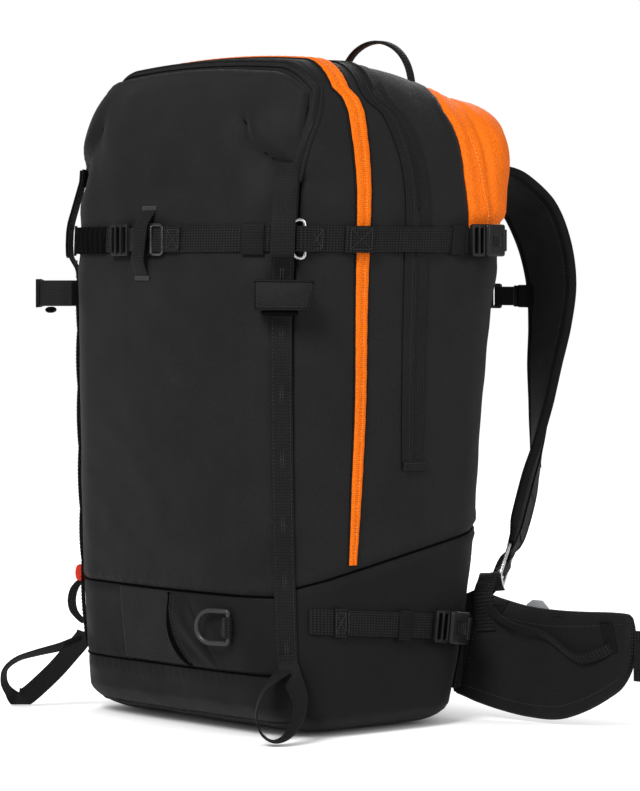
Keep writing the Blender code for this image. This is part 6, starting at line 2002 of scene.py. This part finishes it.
def makeWings():
    # the padded wings of the hip belt, with all that is sewn to them
    for side, word in sides:
        title, body = word.title(), "wing_" + word
        bends = []
        countS, half = 72, 22
        rings = []
        for s in np.linspace(0, 1, countS):
            ts = (1 - np.cos(np.linspace(0, math.pi, half))) / 2
            outer = wingAt(s, ts, wingSwell(s, ts, 1))
            inner = wingAt(s, ts[::-1], -wingSwell(s, ts[::-1], -1))
            rings.append(flipped(np.concatenate([outer, inner]), side))
        wing = ringed(rings)
        done(wing, "hipWing" + title, "strapCover", None, ("hip_wing_" + word,), 60)
        bends.append(wing)
        # the edge tape runs along the top, round the end and back along the foot
        path = [(s, 1.0) for s in np.linspace(0.02, 0.985, 60)] + [(1.0, t) for t in np.linspace(0.93, 0.06, 22)]
        path = np.array(path + [(s, 0.0) for s in np.linspace(0.985, 0.02, 60)])
        centre = wingAt(path[:, 0], path[:, 1])
        inward = unit(wingAt(np.clip(path[:, 0] * 0.97, 0, 1), 0.5 + (path[:, 1] - 0.5) * 0.9) - centre)
        ways = waysOf(centre)
        faces = unit(np.cross(ways, inward))
        inward = unit(np.cross(faces, ways))
        deep = belted["binding"]
        rings = sectionRings(*mirrored(side, centre, inward, faces), lambda i: [
            (deep, 0.004), (deep * 0.55, 0.0046), (0.0008, 0.004), (-0.001, 0.0018), (-0.0012, 0.0),
            (-0.001, -0.0018), (0.0008, -0.004), (deep * 0.55, -0.0046), (deep, -0.004), (deep * 0.7, 0.0)])
        bends.append(webbed(ringed(rings), "wingBinding" + title, "webbing", body=None))
        # a row of stitches along the edge, the slanted seam and the sewn loop for gear
        marks = []
        for low, high, t in ((0.1, 0.955, 0.865), (0.1, 0.93, 0.115)):
            s = np.linspace(low, high, 90)
            tt = np.full(90, t)
            line = onWing(s, tt, 0.0001)
            out = wingOut(s, tt)
            marks.append(stitchLine(*mirrored(side, line, out), 0.0034, 0.0023, 0.0004))
        tt = np.linspace(0.14, 0.86, 40)
        s = 0.325 - 0.24 * (1 - tt)
        line = onWing(s, tt, 0.0001)
        marks.append(stitchLine(flipped(line, side), flipped(wingOut(s, tt), side), 0.0034, 0.0023, 0.00034))
        bends.append(webbed(joined(marks), "wingStitch" + title, "thread", body=None))
        # a near-black cord along the wing's root: painted shade for the dark line where the wing meets the bag
        s, tt = np.linspace(0.125, 0.012, 24), np.linspace(0.77, 0.28, 24)
        line = onWing(s, tt, 0.0003)
        bends.append(webbed(tubeAlong(flipped(line, side), 0.0007, 6), "wingRootShade" + title, "shadeCord", body=None))
        for piece in bends:
            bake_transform(piece)
        makeGearLoop(side, title, body)
        makeHipWebbing(side, word, body)


def wingShare(x, z):
    # the shares of the wing at x and height z
    s = np.linspace(0, 1, 400)
    at = float(np.interp(x, wingAt(s, 0.5)[:, 0], s))
    low, high = wingAt(at, 0.0)[2], wingAt(at, 1.0)[2]
    return at, (z - low) / (high - low)


gearLoop = {"wide": 0.0095, "thick": 0.0013, "lean": 0.85, "bars": ((0.15, 0.166, 0.104), (0.2715, 0.282, 0.0955)),
            "anchors": (((0.1475, 0.1075), (0.17, 0.1075), (0.164, 0.096), (0.148, 0.096)),
                        ((0.27, 0.095), (0.283, 0.0975), (0.2905, 0.07), (0.279, 0.068))),
            "marks": ((0.15, 0.102, 0.0012, 0.1), (0.16, 0.0965, 0.005, 0.3), (0.172, 0.0905, 0.009, 0.8),
                      (0.186, 0.0865, 0.01, 1.0), (0.2, 0.0835, 0.008, 0.9),
             (0.214, 0.0805, 0.0062, 0.8), (0.228, 0.0735, 0.0062, 0.8), (0.241, 0.066, 0.0064, 0.8),
             (0.252, 0.0625, 0.0066, 0.8), (0.264, 0.0645, 0.0058, 0.7),
             (0.275, 0.069, 0.004, 0.4), (0.2835, 0.0735, 0.0014, 0.1))}   # x, z, way off the wing and lean


def makeGearLoop(side, title, body):
    # a strip of webbing sewn at both ends that sags away from the wing between them
    marks = gearLoop["marks"]
    centre, outs = [], []
    for x, z, lift, _ in marks:
        s, t = wingShare(x, z)
        here, out = onWing(s, t, lift), wingOut(s, t)
        centre.append(here)
        outs.append(out)
    route = smoothRoute(centre, 6)
    places = np.linspace(0, len(marks) - 1, len(route))
    outs = unit(np.stack([np.interp(places, range(len(marks)), np.array(outs)[:, c]) for c in range(3)], -1))
    tilt = np.interp(places, range(len(marks)), [mark[3] for mark in marks]) * gearLoop["lean"]
    ways = waysOf(route)
    ups = unit(np.cross(outs, ways))
    ups = ups * np.sign(ups[:, 2:3])
    wides = unit(ups * np.cos(tilt)[:, None] + outs * np.sin(tilt)[:, None])
    faces = unit(np.cross(ways, wides))
    strip = bandThrough(*mirrored(side, route, wides, faces), 0.0095, 0.0013)
    webbed(strip, "gearLoop" + title, "webbing", body=body)
    pieces = []
    for corners in gearLoop["anchors"]:
        spots = []
        for a in np.linspace(0, 1, 7):
            row = []
            for b in np.linspace(0, 1, 7):
                (x0, z0), (x1, z1), (x2, z2), (x3, z3) = corners
                x = (x0 * (1 - a) + x1 * a) * (1 - b) + (x3 * (1 - a) + x2 * a) * b
                z = (z0 * (1 - a) + z1 * a) * (1 - b) + (z3 * (1 - a) + z2 * a) * b
                s, t = wingShare(x, z)
                row.append(onWing(s, t, 0.0002))
            spots.append(row)
        spots = flipped(np.array(spots), side)
        out = flipped(wingOut(0.5, 0.5), side)
        pieces.append(sheet(spots, np.tile(out, (7, 7, 1)), 0.0011, 0.0003))
    webbed(joined(pieces), "gearLoopAnchors" + title, "binding", body=body)
    bars = []
    for x0, x1, z in gearLoop["bars"]:
        line, out = [], []
        for k, x in enumerate(np.linspace(x0, x1, 14)):
            s, t = wingShare(x, z + (0.0008 if k % 2 else -0.0008))
            line.append(onWing(s, t, 0.0013))
            out.append(wingOut(s, t))
        bars.append(stitchLine(*mirrored(side, line, out), 0.0015, 0.002, 0.0005))
    webbed(joined(bars), "gearLoopTacks" + title, "elastic", body=body)


def makeHipWebbing(side, word, body):
    # the wide webbing from the wing's end to its half of the buckle
    route = smoothRoute([(x, y, hipWeb["z"]) for x, y in hipWeb["route"]], 8)
    ups = upright(route)
    ways = waysOf(route)
    faces = np.stack([-ways[:, 1], ways[:, 0], ways[:, 2] * 0], -1)
    wave = 0.001 * np.sin(np.linspace(0, 7, len(route))) * np.sin(np.linspace(0, math.pi, len(route)))
    route = route + faces * wave[:, None]
    web = bandThrough(flipped(route, side), ups, flipped(faces, side), hipWeb["wide"], hipWeb["thick"])
    webbed(web, "hipWebbing" + word.title(), "webbing", ("hip_webbing_" + word,), body)
    # the narrow pull strap that lies on it
    turn = [route[i] - faces[i] * 0.0019 for i in range(2, len(route) - 4)]
    webbed(bandThrough(flipped(turn, side), ups[2:-4], flipped(faces[2:-4], side), 0.024, 0.0014),
           "hipPullStrap" + word.title(), "tape", body=body)
    look = hipBuckle
    end, along, out = route[-1], unit(route[-1] - route[-3]), faces[-1]
    if side > 0:
        at = axesAt(end + along * (look["length"] + 0.0008) - out * look["height"] / 2, -along, out)
        makeSocket(at, look, "hipSocket", body, "hip_socket")
    else:
        at = axesAt(flipped(end + along * 0.0278 - out * (look["height"] / 2 - hipWeb["thick"] / 2), -1),
                    flipped(along, -1), flipped(out, -1))
        makeTongue(at, look, "hipTongue", body, "hip_tongue", 0.0034)


lumbar = {"foot": 0.028, "high": 0.078, "stand": 0.0078, "depth": 0.0215, "wide": 0.845, "face": 0.8,
          "channelAt": 0.3, "channelHalf": 0.05, "channelDeep": 0.0035}


def makeLumbarPad():
    # the pad that rests on the small of the back, with two moulded channels
    rings, outline = [], padOutline()
    for k in np.linspace(0, 1, 46):
        t = (1 - math.cos(math.pi * k)) / 2
        z = lumbar["foot"] + lumbar["high"] * t
        edge = max(1 - abs(2 * t - 1) ** 5, 0) ** 0.35
        ring = []
        for x, depth in outline:
            base = bagAt(x, 1, levelOf(z))
            groove = lumbar["channelDeep"] * hump(abs(x) - lumbar["channelAt"],
                                                  lumbar["channelHalf"]) * (depth > 0.5)
            out = lumbar["stand"] + lumbar["depth"] * depth * (0.55 + 0.45 * edge) - groove
            ring.append((base[0], base[1] + out, z))
        rings.append(ring)
    pad = ringed(rings)
    done(pad, "lumbarPad", "strapCover", "bag", ("lumbar_pad",), 50)


def padOutline():
    # shares of the half width and of the depth, round the pad's outline from its left side
    wide, face = lumbar["wide"], lumbar["face"]
    found = [(u, 0.0) for u in np.linspace(wide, -wide, 9)]
    found += [(-wide + (wide - face) * k * 0.6, math.sin(k * math.pi / 2) * 0.75)
              for k in np.linspace(0.25, 0.8, 3)]
    for u in np.linspace(-face, face, 33):
        found.append((u, min(1.0, 0.8 + 0.2 * math.sqrt(max(1 - (u / face) ** 6, 0)))))
    found += [(wide - (wide - face) * k * 0.6, math.sin(k * math.pi / 2) * 0.75) for k in np.linspace(0.8, 0.25, 3)]
    return found


stiffener = {"place": (0.189, 0.1345, 0.0985), "along": (1, 0.16, 0), "out": (0.16, -1, 0), "thick": 0.0022,
             "edge": 0.0007,
             "outline": ((-0.015, -0.01), (-0.012, 0.0065), (-0.006, 0.0105), (0.005, 0.0105), (0.012, 0.004),
                         (0.016, -0.01))}


def makeStiffener():
    # the moulded end of the belt's stiffener behind the wing
    at = axesAt(stiffener["place"], stiffener["along"], stiffener["out"])
    tab = plate([stiffener["outline"]], stiffener["thick"], at, stiffener["edge"])
    done(tab, "beltStiffener", "greyPlastic", "wing_right", angle=35)


airbag = {"half": 0.108, "level": 0.45, "lowest": 0.4485, "high": 0.0115, "swell": 0.017,
          "fold": 0.0016, "folds": 520, "ripple": 0.0008, "ripples": 30, "clear": 0.012}


def makeAirbag():
    # the folded airbag under the orange hood
    rings = []
    for x in np.linspace(-airbag["half"], airbag["half"], 60):
        share = x / airbag["half"]
        end = max(1 - abs(share) ** 6, 0.0) ** 0.4 * 0.75 + 0.25
        rear = bagAt(x / form["halfWidth"], 1, levelOf(0.47))[1] - airbag["clear"]
        high = airbag["high"] + airbag["swell"] * end * (1 - 0.5 * share * share)
        ring = []
        for turn in np.linspace(0, 2 * math.pi, 72, endpoint=False):
            c, s = math.cos(turn), math.sin(turn)
            y = (rear - 0.016) / 2 + (rear + 0.012) / 2 * math.copysign(abs(c) ** 0.6, c) * end
            z = airbag["level"] + (high * abs(s) ** 0.7 if s > 0 else 0.001 * s)
            if s > 0.2:   # only the upper side shows its folds
                z += airbag["fold"] * math.sin(y * airbag["folds"])
                z += airbag["ripple"] * math.sin(share * airbag["ripples"])
            ring.append((x, y, max(z, airbag["lowest"])))
        rings.append(ring)
    folded = ringed(rings)
    done(folded, "foldedAirbag", "bladder", "bag", ("airbag_bladder",), 60)


def finishInnerParts():
    # the parts inside keep their shape and take a finish
    for name, finish in (("gas_cartridge", "metal"), ("activation_unit", "plastic"), ("trigger_pin", "metal"),
                         ("trigger_cable", "plastic"), ("aluminium_stay", "metal")):
        node = bpy.data.objects[name]
        node.data.materials.clear()
        node.data.materials.append(finishes[finish])


makeShoulderStraps()
makeSternumStrap()
makeTrigger()
print("shoulder straps on")
makeWings()
makeLumbarPad()
makeStiffener()
makeAirbag()
finishInnerParts()
print("hip belt and inner parts done")
